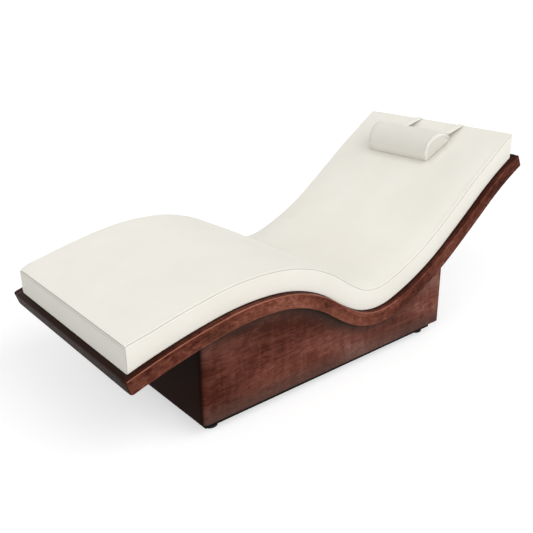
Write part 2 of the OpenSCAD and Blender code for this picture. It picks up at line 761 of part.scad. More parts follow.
module runner(side) {
    y = side * runner_y;
    color(blackened) difference() {
        box(runner_x0, runner_x1, y - plinth_w / 2, y + plinth_w / 2, plinth_z, board_z);
        foot_places() translate([0, 0, board_z - tee_l - seat_gap])
            cylinder(h = tee_l + overrun, r = tee_d / 2 + pin_gap, $fn = fine);
        foot_places() translate([0, 0, plinth_z - overrun])
            cylinder(h = plinth_h + overrun, r = stud_d / 2 + stud_clear, $fn = fine);
        plinth_screw_places() screw_hole(plinth_h);
    }
}
module plinth_runner_right() {
    runner(-1);
}
module plinth_runner_left() {
    runner(1);
}
module plinth_cross(x0) {
    y = runner_y - plinth_w / 2;
    color(blackened) box(x0, x0 + cross_w, -y, y, plinth_z, board_z);
}
module plinth_cross_foot() {
    plinth_cross(runner_x0);
}
module plinth_cross_head() {
    plinth_cross(runner_x1 - cross_w);
}
module tee_nuts() {
    color(zinc) foot_places() difference() {
        union() {
            translate([0, 0, board_z - tee_l]) cylinder(h = tee_l, d = tee_d, $fn = fine);
            translate([0, 0, board_z]) cylinder(h = tee_flange_t, d = tee_flange_d, $fn = fine);
        }
        translate([0, 0, board_z - tee_l - overrun])
            cylinder(h = tee_l + 2 * overrun, r = stud_d / 2 + pin_gap, $fn = fine);
    }
}
module ring_at(z, h, d, sides) {
    translate([0, 0, z]) difference() {
        cylinder(h = h, d = d, $fn = sides);
        translate([0, 0, -overrun]) cylinder(h = h + 2 * overrun, r = stud_d / 2 + pin_gap, $fn = fine);
    }
}
module jam_nuts() {
    color(blackened) foot_places() ring_at(pad_h, nut_h, nut_af / cos(30), 6);
}
module washers() {
    color(blackened) foot_places() ring_at(pad_h + nut_h, washer_t, nut_af + 2 * washer_rim, fine);
}
pad_edge = 2;
pad_rim = 7;
pad_boss_d = 28;
pad_floor = 4;
pad_slope_h = 12;
// At full travel the stud still fills its tee nut up to near the flange
stud_top = board_z - tee_hold + foot_travel;
stud_slot_w = 2;
stud_slot_h = 3;
module pad(x, side) {
    color(blackened) translate([x, side * foot_y, 0]) difference() {
        rotate_extrude($fn = fine) polygon([[0, 0], [pad_d / 2 - pad_edge, 0], [pad_d / 2, pad_edge],
            [pad_d / 2, pad_rim], [pad_boss_d / 2, pad_slope_h], [pad_boss_d / 2, pad_h], [0, pad_h]]);
        translate([0, 0, pad_floor]) cylinder(h = pad_h, r = stud_d / 2 + pin_gap, $fn = fine);
    }
}
module stud(x, side) {
    color(zinc) translate([x, side * foot_y, 0]) difference() {
        translate([0, 0, pad_floor + pin_gap]) cylinder(h = stud_top - pad_floor, d = stud_d, $fn = fine);
        box(-stud_d, stud_d, -stud_slot_w / 2, stud_slot_w / 2, stud_top - stud_slot_h, stud_top + overrun);
    }
}
module pad_foot_right() {
    pad(foot_x[0], -1);
}
module pad_foot_left() {
    pad(foot_x[0], 1);
}
module pad_head_right() {
    pad(foot_x[1], -1);
}
module pad_head_left() {
    pad(foot_x[1], 1);
}
module stud_foot_right() {
    stud(foot_x[0], -1);
}
module stud_foot_left() {
    stud(foot_x[0], 1);
}
module stud_head_right() {
    stud(foot_x[1], -1);
}
module stud_head_left() {
    stud(foot_x[1], 1);
}

cushion_cover();
comfort_foam();
firm_foam();
bottom_cloth();
cushion_loop_tapes();
deck_hook_tapes();
pillow_cover();
pillow_base();
pillow_core();
strap_right();
strap_left();
strap_patches();
deck();
side_rail_right();
side_rail_left();
foot_rail();
head_rail();
rail_dowels();
end_rail_dowels();
deck_screws();
side_panel_right();
side_panel_left();
foot_panel();
head_panel();
post_foot_right();
post_foot_left();
post_head_right();
post_head_left();
panel_dowels();
bearer_right();
bearer_left();
bulkhead_foot();
bulkhead_head();
bottom_board();
cleat_right();
cleat_left();
bottom_screws();
plinth_runner_right();
plinth_runner_left();
plinth_cross_foot();
plinth_cross_head();
plinth_screws();
tee_nuts();
jam_nuts();
washers();
pad_foot_right();
pad_foot_left();
pad_head_right();
pad_head_left();
stud_foot_right();
stud_foot_left();
stud_head_right();
stud_head_left();
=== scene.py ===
"""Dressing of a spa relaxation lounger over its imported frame.

The cushion, the neck pillow with its straps, the bent tray, the corner posts and the levelling pads are
built here over the frame's solids; the flat panels and the hidden joinery keep their solids and get a
finish. Lengths are in metres: +X towards the head end, +Y towards the sitter's left, +Z up.
"""
import logging
import math
from dataclasses import dataclass
from enum import Enum
from typing import ClassVar

import bmesh
import bpy
import numpy as np
from mathutils import Matrix, Vector


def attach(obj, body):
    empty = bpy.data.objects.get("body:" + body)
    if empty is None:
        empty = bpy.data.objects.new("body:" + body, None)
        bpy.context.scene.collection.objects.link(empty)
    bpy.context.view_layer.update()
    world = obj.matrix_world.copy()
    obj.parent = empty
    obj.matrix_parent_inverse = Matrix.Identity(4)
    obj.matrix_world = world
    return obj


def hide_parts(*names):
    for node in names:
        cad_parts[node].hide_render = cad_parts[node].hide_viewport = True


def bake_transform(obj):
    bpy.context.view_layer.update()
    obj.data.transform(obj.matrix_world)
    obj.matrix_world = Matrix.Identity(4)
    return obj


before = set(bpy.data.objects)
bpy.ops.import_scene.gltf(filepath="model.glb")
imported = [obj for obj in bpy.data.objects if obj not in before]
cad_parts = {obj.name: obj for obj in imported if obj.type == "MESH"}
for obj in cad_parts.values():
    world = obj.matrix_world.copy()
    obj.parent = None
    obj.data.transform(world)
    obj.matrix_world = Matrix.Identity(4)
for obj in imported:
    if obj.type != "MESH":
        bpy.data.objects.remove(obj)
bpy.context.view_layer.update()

LOG = logging.getLogger("lounger")
Array = np.ndarray
Socket = bpy.types.NodeSocket
Material = bpy.types.Material
Piece = bpy.types.Object
Triple = tuple[float, float, float]
# Points closer than WELD become one, and a place within ON_SIDE of a side lies on it, in metres.
WELD = 1e-5
ON_SIDE = 1e-6
# Smallest size that something is divided by.
TINY = 1e-9
# Points are matched after rounding to one part in KEY_SCALE of a metre.
KEY_SCALE = 1e5
# Frames of a cloth run, and the pressure inside the cover.
CLOTH_FRAMES = 20
CLOTH_PRESSURE = 4.0
# Corners of the base: end along X and side along Y.
ENDS = {"foot_right": (-1, -1), "foot_left": (-1, 1), "head_right": (1, -1), "head_left": (1, 1)}


def smooth_step(t: Array) -> Array:
    """Eased value from 0 to 1 of t, which is held between 0 and 1."""
    u = np.clip(t, 0.0, 1.0)
    return u * u * (3.0 - 2.0 * u)


def bell(x: Array, middle: float, reach: float) -> Array:
    """Bell curve of x, 1 at its middle and a third of that at its reach."""
    return np.exp(-((x - middle) / reach) ** 2)


def turned(angle: Array) -> tuple[Array, Array]:
    """Direction and upward normal in the side view of a slope in degrees."""
    a = np.radians(angle)
    return np.stack([np.cos(a), np.sin(a)], -1), np.stack([-np.sin(a), np.cos(a)], -1)


class Grain(Enum):
    """Where a wood finish takes the run of its grain from."""

    ALONG_STRIP = "strip"
    ROUND_BASE = "base"


class Nodes:
    """A node tree, with short calls that add and link its nodes."""

    def __init__(self, tree: bpy.types.NodeTree) -> None:
        """Takes the tree over."""
        self.tree = tree

    def node(self, kind: str, **settings: object) -> bpy.types.Node:
        """Adds a node.

        Args:
            kind: Blender's name of the node.
            settings: Values of the node's own properties.

        Returns:
            The new node.
        """
        made = self.tree.nodes.new(kind)
        for key, value in settings.items():
            setattr(made, key, value)
        return made

    def link(self, source: object, target: object) -> None:
        """Feeds one socket, or a plain value, into another socket.

        Args:
            source: The socket or the plain value.
            target: The socket that takes it.
        """
        if isinstance(source, Socket):
            self.tree.links.new(source, target)
        else:
            target.default_value = source

    def math(self, operation: str, *values: object) -> Socket:
        """Result of one calculation.

        Args:
            operation: Blender's name of the calculation.
            values: Sockets or plain numbers, in the order of the node's inputs.

        Returns:
            The result.
        """
        made = self.node("ShaderNodeMath", operation=operation)
        for value, target in zip(values, made.inputs):
            self.link(value, target)
        return made.outputs[0]

    def sum(self, *terms: tuple[Socket, float]) -> Socket:
        """Weighted sum of sockets.

        Args:
            terms: Pairs of a socket and its weight.

        Returns:
            The sum.
        """
        total: object = 0.0
        for socket, weight in terms:
            total = self.math("MULTIPLY_ADD", socket, weight, total)
        return total


class Graph(Nodes):
    """One material's node tree, with short calls for the nodes that the finishes share."""

    def __init__(self, name: str) -> None:
        """Starts a material with an empty surface.

        Args:
            name: The material's name.
        """
        self.material = bpy.data.materials.new(name)
        self.material.use_nodes = True
        super().__init__(self.material.node_tree)
        self.tree.nodes.clear()
        self.shader = self.node("ShaderNodeBsdfPrincipled")
        out = self.node("ShaderNodeOutputMaterial")
        self.tree.links.new(self.shader.outputs[0], out.inputs[0])

    def place(self, source: str = "Object", scale: Triple = (1.0, 1.0, 1.0)) -> Socket:
        """Texture place on the piece, stretched by scale.

        Args:
            source: "Object" for the piece's own metres, or "UV" for its laid-out metres.
            scale: Stretch along each axis.

        Returns:
            The stretched place.
        """
        coords = self.node("ShaderNodeTexCoord")
        mapping = self.node("ShaderNodeMapping")
        self.link(coords.outputs[source], mapping.inputs["Vector"])
        mapping.inputs["Scale"].default_value = scale
        return mapping.outputs[0]

    def noise(self, where: Socket, scale: float, detail: float = 3.0, rough: float = 0.55,
              twist: float = 0.0) -> Socket:
        """Noise from 0 to 1 at a place.

        Args:
            where: The place.
            scale: How often the noise repeats in a unit of the place.
            detail: Number of finer layers.
            rough: Weight of each finer layer.
            twist: How far the noise is warped.

        Returns:
            The noise.
        """
        made = self.node("ShaderNodeTexNoise")
        self.link(where, made.inputs["Vector"])
        for key, value in (("Scale", scale), ("Detail", detail), ("Roughness", rough), ("Distortion", twist)):
            made.inputs[key].default_value = value
        return made.outputs[0]

    def cells(self, where: Socket, scale: float) -> Socket:
        """Distance to the nearest cell of a leather-like pattern, smooth between cells.

        Args:
            where: The place.
            scale: Number of cells in a unit of the place.

        Returns:
            The distance.
        """
        made = self.node("ShaderNodeTexVoronoi", feature="SMOOTH_F1")
        self.link(where, made.inputs["Vector"])
        made.inputs["Scale"].default_value = scale
        return made.outputs["Distance"]

    def split(self, place: Socket) -> list[Socket]:
        """The three numbers of a place.

        Args:
            place: The place or direction.

        Returns:
            Its X, Y and Z.
        """
        made = self.node("ShaderNodeSeparateXYZ")
        self.link(place, made.inputs[0])
        return list(made.outputs)

    def facing(self) -> list[Socket]:
        """X, Y and Z of the surface's outward direction."""
        return self.split(self.node("ShaderNodeNewGeometry").outputs["Normal"])

    def openness(self, reach: float) -> Socket:
        """How open the surface is.

        Args:
            reach: Distance in metres within which other surfaces close it in.

        Returns:
            A socket from 0, deep in a nook, to 1, in the open.
        """
        made = self.node("ShaderNodeAmbientOcclusion", samples=8)
        made.inputs["Distance"].default_value = reach
        return made.outputs["AO"]

    def mark(self) -> Socket:
        """Seam mark of the mesh, which also carries painted shade and painted highlights."""
        return self.node("ShaderNodeAttribute", attribute_name="seam").outputs["Fac"]

    def ramp(self, value: Socket, *stops: tuple[float, float | Triple]) -> Socket:
        """Colour or grey level of a value.

        Args:
            value: The value.
            stops: Pairs of a value and the grey level or colour there.

        Returns:
            The colour or level.
        """
        made = self.node("ShaderNodeValToRGB")
        self.link(value, made.inputs[0])
        band = made.color_ramp
        while len(band.elements) < len(stops):
            band.elements.new(0.5)
        for element, (at, colour) in zip(band.elements, stops):
            element.position = at
            level = (colour,) * 3 if isinstance(colour, float) else colour
            element.color = (*level, 1.0)
        return made.outputs[0]

    def tint(self, under: Socket, over: Triple, share: Socket) -> Socket:
        """One colour laid over another.

        Args:
            under: The colour below.
            over: The colour laid over it.
            share: How much it covers, from 0 to 1.

        Returns:
            The mixed colour.
        """
        made = self.node("ShaderNodeMix", data_type="RGBA")
        self.link(share, made.inputs[0])
        self.link(under, made.inputs[6])
        self.link((*over, 1.0), made.inputs[7])
        return made.outputs[2]

    def bump(self, height: Socket, depth: float, strength: float, over: Socket | None = None) -> Socket:
        """Surface normal raised by a height.

        Args:
            height: Socket from 0 to 1.
            depth: Rise in metres for a height of 1.
            strength: Share of the effect.
            over: Normal that it adds to, if any.

        Returns:
            The bumped normal.
        """
        made = self.node("ShaderNodeBump")
        made.inputs["Strength"].default_value = strength
        made.inputs["Distance"].default_value = depth
        self.link(height, made.inputs["Height"])
        if over is not None:
            self.link(over, made.inputs["Normal"])
        return made.outputs[0]

    def set(self, **values: float) -> None:
        """Sets plain values on the shader, named with underscores for spaces."""
        for key, value in values.items():
            self.shader.inputs[key.replace("_", " ")].default_value = value

    def feed(self, **sockets: object) -> None:
        """Links sockets into the shader, named with underscores for spaces."""
        for key, value in sockets.items():
            self.link(value, self.shader.inputs[key.replace("_", " ")])


@dataclass(frozen=True)
class Finish:
    """A finish: its material's name, and its lightest and darkest colour."""

    name: str
    light: Triple
    dark: Triple

    def material(self) -> Material:
        """Builds the finish's material."""
        raise NotImplementedError


@dataclass(frozen=True)
class Vinyl(Finish):
    """Smooth upholstery vinyl with a fine pressed grain."""

    seam: Triple = (0.30, 0.285, 0.25)
    # Painted shade in nooks: reach of the occlusion, its colour and share, and the upward lean over which it
    # acts.
    nook: float = 0.035
    nook_shade: Triple = (0.30, 0.285, 0.25)
    nook_share: float = 0.60
    lean: tuple[float, float] = (0.30, 0.60)

    def material(self) -> Material:
        """Builds the vinyl's material; the mesh's seam mark darkens its seams and lays painted shade on the
        pillow's end faces, and painted shade darkens upward faces in nooks.

        Returns:
            The material.
        """
        g = Graph(self.name)
        at = g.place()
        cloud = g.noise(at, 5.0, 2.0)
        fleck = g.noise(at, 420.0, 2.0)
        colour = g.ramp(g.sum((cloud, 0.75), (fleck, 0.25)), (0.3, self.dark), (0.7, self.light))
        # Painted shade: occlusion darkens upward faces in nooks, like a contact shadow.
        share = self.nook_share
        deep = g.ramp(g.openness(self.nook), (0.25, share), (0.72, 0.45 * share), (0.96, 0.0))
        upward = g.ramp(g.facing()[2], (self.lean[0], 0.0), (self.lean[1], 1.0))
        in_nook = g.tint(colour, self.nook_shade, g.math("MULTIPLY", deep, upward))
        g.feed(Base_Color=g.tint(in_nook, self.seam, g.sum((g.mark(), 0.9))))
        pebbles = g.cells(at, 760.0)
        folds = g.noise(g.place(scale=(1.0, 1.6, 1.0)), 260.0, 4.0, 0.6, 0.4)
        waves = g.noise(at, 9.0, 2.0)
        normal = g.bump(g.sum((pebbles, 0.7), (folds, 0.5)), 0.00016, 0.55)
        g.feed(Normal=g.bump(waves, 0.0012, 0.35, normal))
        g.feed(Roughness=g.ramp(g.sum((fleck, 0.5), (cloud, 0.5)), (0.2, 0.48), (0.8, 0.58)))
        g.set(Specular_IOR_Level=0.14)
        return g.material


@dataclass(frozen=True)
class Veneer(Finish):
    """Mottled red-brown veneer under a satin lacquer."""

    middle: Triple
    grain: Grain = Grain.ALONG_STRIP
    # Painted light: the arris colour lays painted highlights, the depth colour darkens pores and lays painted
    # shade on marked tops and on faces towards the ends, the shade colour lays painted shade in nooks, and a
    # lightening along the grain is a painted reflection.
    arris: Triple = (0.38, 0.155, 0.095)
    depth: Triple = (0.010, 0.0032, 0.0020)
    shade: Triple = (0.026, 0.014, 0.011)
    end_face_shade: float = 0.95
    nook: float = 0.12
    sheen_drift: float = 0.0
    weights: tuple[float, float, float, float] = (0.52, 0.20, 0.10, 0.18)
    patch: tuple[float, float] = (2.3, 5.5)
    gloss: float = 0.38

    def _plane(self, g: Graph) -> Socket:
        """Place in metres with the grain along its first axis.

        Args:
            g: The material's graph.

        Returns:
            A socket with the place along the grain, across it, and zero.
        """
        if self.grain is Grain.ALONG_STRIP:
            return g.place("UV")
        x, y, z = g.split(g.place())
        joined = g.node("ShaderNodeCombineXYZ")
        g.link(g.sum((x, 1.0), (y, 1.0)), joined.inputs[0])
        g.link(z, joined.inputs[1])
        return joined.outputs[0]

    def _painted_light_and_shade(self, g: Graph, colour: Socket) -> Socket:
        """Colour with painted shade in the nooks, on marked tops and on the faces towards the ends, and
        painted highlights on marked arrises.

        Args:
            g: The material's graph.
            colour: The veneer's plain colour.

        Returns:
            The colour with its painted light and shade.
        """
        # Painted shade in nooks, from ambient occlusion.
        deep = g.ramp(g.openness(self.nook), (0.10, 0.86), (0.68, 0.70), (0.86, 0.46), (0.95, 0.16),
                      (1.0, 0.0))
        mark = g.mark()
        # Painted shade on faces turned towards the ends.
        ends = g.ramp(g.math("ABSOLUTE", g.facing()[0]), (0.60, 0.0), (0.92, self.end_face_shade))
        # Marks below 0 lay painted highlights, marks above 0 lay painted shade.
        painted_highlight = g.tint(colour, self.arris, g.ramp(g.sum((mark, -1.0)), (0.0, 0.0), (1.0, 0.82)))
        mark_shaded = g.tint(painted_highlight, self.depth, g.ramp(mark, (0.0, 0.0), (1.0, 0.85)))
        return g.tint(g.tint(mark_shaded, self.shade, deep), self.depth, ends)

    def material(self) -> Material:
        """Builds the veneer's material.

        Returns:
            The material.
        """
        g = Graph(self.name)
        plane = self._plane(g)

        def along(run: float, cross: float, detail: float, rough: float, twist: float) -> Socket:
            """Noise stretched by two rates.

            Args:
                run: Rate along the grain.
                cross: Rate across the grain.
                detail: Number of finer layers.
                rough: Weight of each finer layer.
                twist: How far the noise is warped.

            Returns:
                The noise.
            """
            mapping = g.node("ShaderNodeMapping")
            g.link(plane, mapping.inputs["Vector"])
            mapping.inputs["Scale"].default_value = (run, cross, 1.0)
            return g.noise(mapping.outputs[0], 1.0, detail, rough, twist)

        patches = along(*self.patch, 3.0, 0.5, 0.4)
        mottle = along(34.0, 62.0, 4.0, 0.62, 0.9)
        ripple = along(46.0, 5.0, 2.0, 0.5, 0.2)
        streak = along(5.0, 210.0, 6.0, 0.66, 0.15)
        layers = zip((patches, mottle, ripple, streak), self.weights)
        # The colour lightens along the first axis of the place, a painted reflection towards the head.
        figure = g.sum(*layers, (g.split(plane)[0], self.sheen_drift))
        colour = g.ramp(figure, (0.39, self.dark), (0.50, self.middle), (0.62, self.light))
        pores = g.ramp(along(90.0, 1500.0, 2.0, 0.5, 0.0), (0.30, 1.0), (0.37, 0.0))
        g.feed(Base_Color=self._painted_light_and_shade(g, g.tint(colour, self.depth, g.sum((pores, 0.55)))))
        normal = g.bump(g.sum((pores, -1.0), (streak, 0.35)), 0.00012, 0.5)
        g.feed(Normal=g.bump(mottle, 0.0004, 0.25, normal))
        g.feed(Roughness=g.ramp(mottle, (0.3, self.gloss - 0.04), (0.7, self.gloss + 0.07)))
        g.set(Specular_IOR_Level=0.012)
        return g.material


@dataclass(frozen=True)
class Ply(Finish):
    """Bare or stained layered board, and solid battens."""

    rough: float = 0.6
    shine: float = 0.3

    def material(self) -> Material:
        """Builds the board's material.

        Returns:
            The material.
        """
        g = Graph(self.name)
        long = g.noise(g.place(scale=(3.0, 70.0, 160.0)), 1.0, 5.0, 0.6, 0.3)
        broad = g.noise(g.place(scale=(2.0, 9.0, 9.0)), 1.0, 2.0)
        mixed = g.sum((long, 0.6), (broad, 0.4))
        g.feed(Base_Color=g.ramp(mixed, (0.35, self.dark), (0.62, self.light)))
        g.feed(Normal=g.bump(long, 0.0002, 0.4))
        g.feed(Roughness=g.ramp(broad, (0.2, self.rough - 0.06), (0.8, self.rough + 0.08)))
        g.set(Specular_IOR_Level=self.shine)
        return g.material


@dataclass(frozen=True)
class Metal(Finish):
    """Plated or blackened steel of screws, nuts and studs."""

    metallic: float = 1.0
    rough: float = 0.34

    def material(self) -> Material:
        """Builds the metal's material.

        Returns:
            The material.
        """
        g = Graph(self.name)
        at = g.place()
        haze = g.noise(at, 160.0, 4.0)
        g.feed(Base_Color=g.ramp(haze, (0.3, self.dark), (0.7, self.light)))
        g.feed(Roughness=g.ramp(g.noise(at, 420.0, 3.0), (0.3, self.rough - 0.06), (0.7, self.rough + 0.08)))
        g.feed(Normal=g.bump(haze, 0.00008, 0.4))
        g.set(Metallic=self.metallic)
        return g.material


@dataclass(frozen=True)
class Moulded(Finish):
    """Moulded plastic with a fine spark texture."""

    def material(self) -> Material:
        """Builds the plastic's material.

        Returns:
            The material.
        """
        g = Graph(self.name)
        at = g.place()
        spark = g.noise(at, 1500.0, 3.0)
        g.feed(Base_Color=g.ramp(g.noise(at, 60.0), (0.3, self.dark), (0.7, self.light)))
        g.feed(Roughness=g.ramp(spark, (0.3, 0.42), (0.7, 0.56)))
        g.feed(Normal=g.bump(spark, 0.00007, 0.5))
        g.set(Specular_IOR_Level=0.10)
        return g.material


@dataclass(frozen=True)
class Weave(Finish):
    """Woven cloth or tape, its threads along X and Y."""

    pitch: float = 0.0011

    def material(self) -> Material:
        """Builds the cloth's material.

        Returns:
            The material.
        """
        g = Graph(self.name)
        rate = 0.5 / self.pitch
        threads = [g.node("ShaderNodeTexWave", wave_profile="SIN", bands_direction=axis) for axis in "XY"]
        for wave in threads:
            g.link(g.place(), wave.inputs["Vector"])
            wave.inputs["Scale"].default_value = rate
        cloth = g.sum((threads[0].outputs["Fac"], 0.5), (threads[1].outputs["Fac"], 0.5))
        g.feed(Base_Color=g.ramp(cloth, (0.2, self.dark), (0.7, self.light)))
        g.feed(Normal=g.bump(cloth, 0.0003, 0.7))
        g.feed(Roughness=g.ramp(g.noise(g.place(), 300.0), (0.3, 0.8), (0.7, 0.92)))
        g.set(Sheen_Weight=0.15)
        return g.material


class Skin:
    """Points, faces, laid-out places and seam marks of one mesh while it is built."""

    def __init__(self) -> None:
        """Starts an empty skin."""
        self.points: list[Array] = []
        self.places: list[Array] = []
        self.marks: list[Array] = []
        self.faces: list[list[int]] = []
        self.count = 0

    def grid(self, block: Array, places: Array | None = None, marks: Array | None = None,
             flip: bool = False) -> None:
        """Adds a sheet of faces over rows of points.

        Args:
            block: Points, as rows, columns and three coordinates.
            places: Texture place of each point, in metres.
            marks: Mark of each point: up to 1 on a seam or painted shade, down to -1 on a painted highlight.
            flip: Turns the faces' outer side over.
        """
        rows, columns = block.shape[:2]
        index = self.count + np.arange(rows * columns).reshape(rows, columns)
        a, b = index[:-1, :-1].ravel(), index[:-1, 1:].ravel()
        c, d = index[1:, 1:].ravel(), index[1:, :-1].ravel()
        order = (a, d, c, b) if flip else (a, b, c, d)
        self.faces.extend(np.stack(order, 1).tolist())
        self.points.append(block.reshape(-1, 3))
        self.places.append(np.zeros((rows * columns, 2)) if places is None else places.reshape(-1, 2))
        self.marks.append(np.zeros(rows * columns) if marks is None else marks.ravel())
        self.count += rows * columns

    def piece(self, name: str, material: Material) -> Piece:
        """Welds the skin into an object with smooth shading.

        Args:
            name: The object's name.
            material: Its finish.

        Returns:
            The new object.
        """
        mesh = bpy.data.meshes.new(name)
        mesh.from_pydata(np.concatenate(self.points).tolist(), [], self.faces)
        layer = mesh.uv_layers.new(name="UVMap")
        places = np.concatenate(self.places)
        corner = np.array([v for face in self.faces for v in face])
        layer.data.foreach_set("uv", places[corner].astype(np.float32).ravel())
        seam = mesh.attributes.new("seam", "FLOAT", "POINT")
        seam.data.foreach_set("value", np.concatenate(self.marks).astype(np.float32))
        work = bmesh.new()
        work.from_mesh(mesh)
        bmesh.ops.remove_doubles(work, verts=work.verts[:], dist=WELD)
        bmesh.ops.recalc_face_normals(work, faces=work.faces[:])
        work.to_mesh(mesh)
        work.free()
        mesh.polygons.foreach_set("use_smooth", [True] * len(mesh.polygons))
        mesh.materials.append(material)
        made = bpy.data.objects.new(name, mesh)
        bpy.context.scene.collection.objects.link(made)
        return made


def vertices_of(piece: Piece, field: str = "co") -> Array:
    """Three numbers of each vertex of a piece.

    Args:
        piece: The piece.
        field: "co" for places, or "normal" for outward directions.

    Returns:
        One row for each vertex.
    """
    flat = np.zeros(len(piece.data.vertices) * 3)
    piece.data.vertices.foreach_get(field, flat)
    return flat.reshape(-1, 3)


def move_points(piece: Piece, places: Array) -> None:
    """Sets the places of a piece's vertices."""
    piece.data.vertices.foreach_set("co", places.astype(np.float32).ravel())
    piece.data.update()


def swell(piece: Piece, free: Array, cap: float) -> None:
    """Blows a cover up from inside with a short cloth run, and keeps the result in its mesh.

    Args:
        piece: The cover.
        free: How far each vertex may go, from 0 for held to 1.
        cap: Furthest move of a free vertex, in metres.
    """
    start = vertices_of(piece)
    group = piece.vertex_groups.new(name="held")
    for level in np.unique(np.round(free, 2)):
        found = np.nonzero(np.round(free, 2) == level)[0]
        group.add(found.tolist(), float(1.0 - level), "REPLACE")
    cloth = piece.modifiers.new("swell", "CLOTH")
    settings = {"quality": 6, "mass": 0.3, "tension_stiffness": 20.0, "compression_stiffness": 20.0,
                "shear_stiffness": 10.0, "bending_stiffness": 0.8, "vertex_group_mass": group.name,
                "use_pressure": True, "uniform_pressure_force": CLOTH_PRESSURE}
    for key, value in settings.items():
        setattr(cloth.settings, key, value)
    cloth.settings.effector_weights.gravity = 0.0
    cloth.collision_settings.use_collision = False
    cloth.point_cache.frame_start, cloth.point_cache.frame_end = 1, CLOTH_FRAMES
    scene = bpy.context.scene
    for step in range(1, CLOTH_FRAMES + 1):
        scene.frame_set(step)
    shaped = piece.evaluated_get(bpy.context.evaluated_depsgraph_get())
    flat = np.zeros(len(start) * 3)
    shaped.data.vertices.foreach_get("co", flat)
    piece.modifiers.remove(cloth)
    piece.vertex_groups.remove(group)
    scene.frame_set(1)
    move = flat.reshape(-1, 3) - start
    size = np.linalg.norm(move, axis=1, keepdims=True) + TINY
    move_points(piece, start + move / size * cap * np.tanh(size / cap) * free[:, None])


def subdivide(piece: Piece) -> None:
    """Adds one level of subdivision to a piece."""
    finer = piece.modifiers.new("finer", "SUBSURF")
    finer.levels = finer.render_levels = 1


def stand_in(piece: Piece, body: str, slot: str, *nodes: str) -> None:
    """Lets a piece ride on a body and puts it in the place of frame nodes.

    Args:
        piece: The piece.
        body: The body that it rides on.
        slot: Not used.
        nodes: The frame nodes that it stands for, if any.
    """
    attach(piece, body)
    if nodes:
        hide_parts(*nodes)
    LOG.info("%s: %d points on %s", piece.name, len(piece.data.vertices), body)


@dataclass(frozen=True)
class LyingCurve:
    """Side view's line along the top of the deck, a chain of arcs from foot to head."""

    lengths: tuple[float, ...] = (0.316, 0.207, 0.260, 0.104, 0.205, 0.321, 0.233, 0.218)
    turns: tuple[float, ...] = (-8.2, -14.8, -32.1, 8.1, 46.3, 18.9, 1.4, -9.9)
    foot_slope: float = 17.8
    foot_height: float = 0.306
    foot_lip: float = 0.019
    head_lip: float = 0.029
    rail_height: float = 0.0465
    plumb: float = 0.160

    @property
    def length(self) -> float:
        """Length along the deck."""
        return sum(self.lengths)

    @property
    def knots(self) -> Array:
        """Places along the deck where its arcs meet."""
        return np.concatenate([[0.0], np.cumsum(self.lengths)])

    @property
    def slopes(self) -> Array:
        """Slopes in degrees where the arcs meet."""
        return self.foot_slope + np.concatenate([[0.0], np.cumsum(self.turns)])

    def slope(self, s: Array) -> Array:
        """Slope in degrees at places along the deck."""
        return np.interp(s, self.knots, self.slopes)

    def _raw(self, s: Array) -> Array:
        """Places in the side view from the deck's foot edge, before the tray is centred.

        Args:
            s: Distances along the deck from its foot edge.

        Returns:
            X and Z of each place.
        """
        knots, slopes = self.knots, self.slopes
        runs, turns = np.array(self.lengths), np.array(self.turns)

        def step(run: Array, first: Array, turn: Array) -> Array:
            """Chord of an arc.

            Args:
                run: The arc's length.
                first: Its first slope in degrees.
                turn: How far it turns, in degrees.

            Returns:
                X and Z from its start to its end.
            """
            half = np.radians(turn) / 2.0
            chord = run * np.where(np.abs(half) < TINY, 1.0, np.sin(half) / np.where(half == 0, 1, half))
            return chord[..., None] * turned(first + turn / 2.0)[0]

        starts = np.concatenate([np.zeros((1, 2)), np.cumsum(step(runs, slopes[:-1], turns), axis=0)])
        inside = np.clip(s, 0.0, self.length)
        k = np.clip(np.searchsorted(knots, inside, side="right") - 1, 0, len(runs) - 1)
        run = inside - knots[k]
        found = starts[k] + step(run, slopes[k], turns[k] * run / runs[k])
        return found + (s - inside)[..., None] * turned(self.slope(s))[0]

    def at(self, s: Array, rise: Array | float = 0.0) -> Array:
        """Places in X and Z over the deck.

        Args:
            s: Distances along the deck from its foot edge.
            rise: Heights square to the deck.

        Returns:
            X and Z of each place.
        """
        ends = np.array([-self.foot_lip, self.length + self.head_lip] * 2)
        drops = np.array([0.0, 0.0, -self.rail_height, -self.rail_height])
        corners = (self._raw(ends) + drops[:, None] * turned(self.slope(ends))[1])[:, 0]
        middle = (corners.min() + corners.max()) / 2.0
        up = turned(self.slope(s))[1]
        return self._raw(s) + np.asarray(rise, float)[..., None] * up + np.array([-middle, self.foot_height])

    def over(self, s: Array, rise: Array) -> Array:
        """Places in X and Z in the cushion, whose cross-lines turn plumb towards its ends.

        Args:
            s: Distances along the deck from its foot edge.
            rise: Heights square to the deck.

        Returns:
            X and Z of each place.
        """
        slope = self.slope(s)
        lean = slope * smooth_step(np.minimum(s, self.length - s) / self.plumb)
        share = rise / np.cos(np.radians(slope - lean))
        return self.at(s) + share[..., None] * turned(lean)[1]


CURVE = LyingCurve()


def mirrored_lines(edge: tuple[float, ...], total: float, pitch: float) -> Array:
    """Places from 0 to total, fine at both ends and evenly spaced between.

    Args:
        edge: Distances of the fine lines from each end.
        total: The whole length.
        pitch: Largest spacing between the fine lines.

    Returns:
        The places in order.
    """
    first = np.array(edge)
    inner = total - 2.0 * first[-1]
    count = max(1, math.ceil(inner / pitch))
    middle = first[-1] + inner * np.arange(1, count) / count
    return np.concatenate([first, middle, total - first[::-1]])


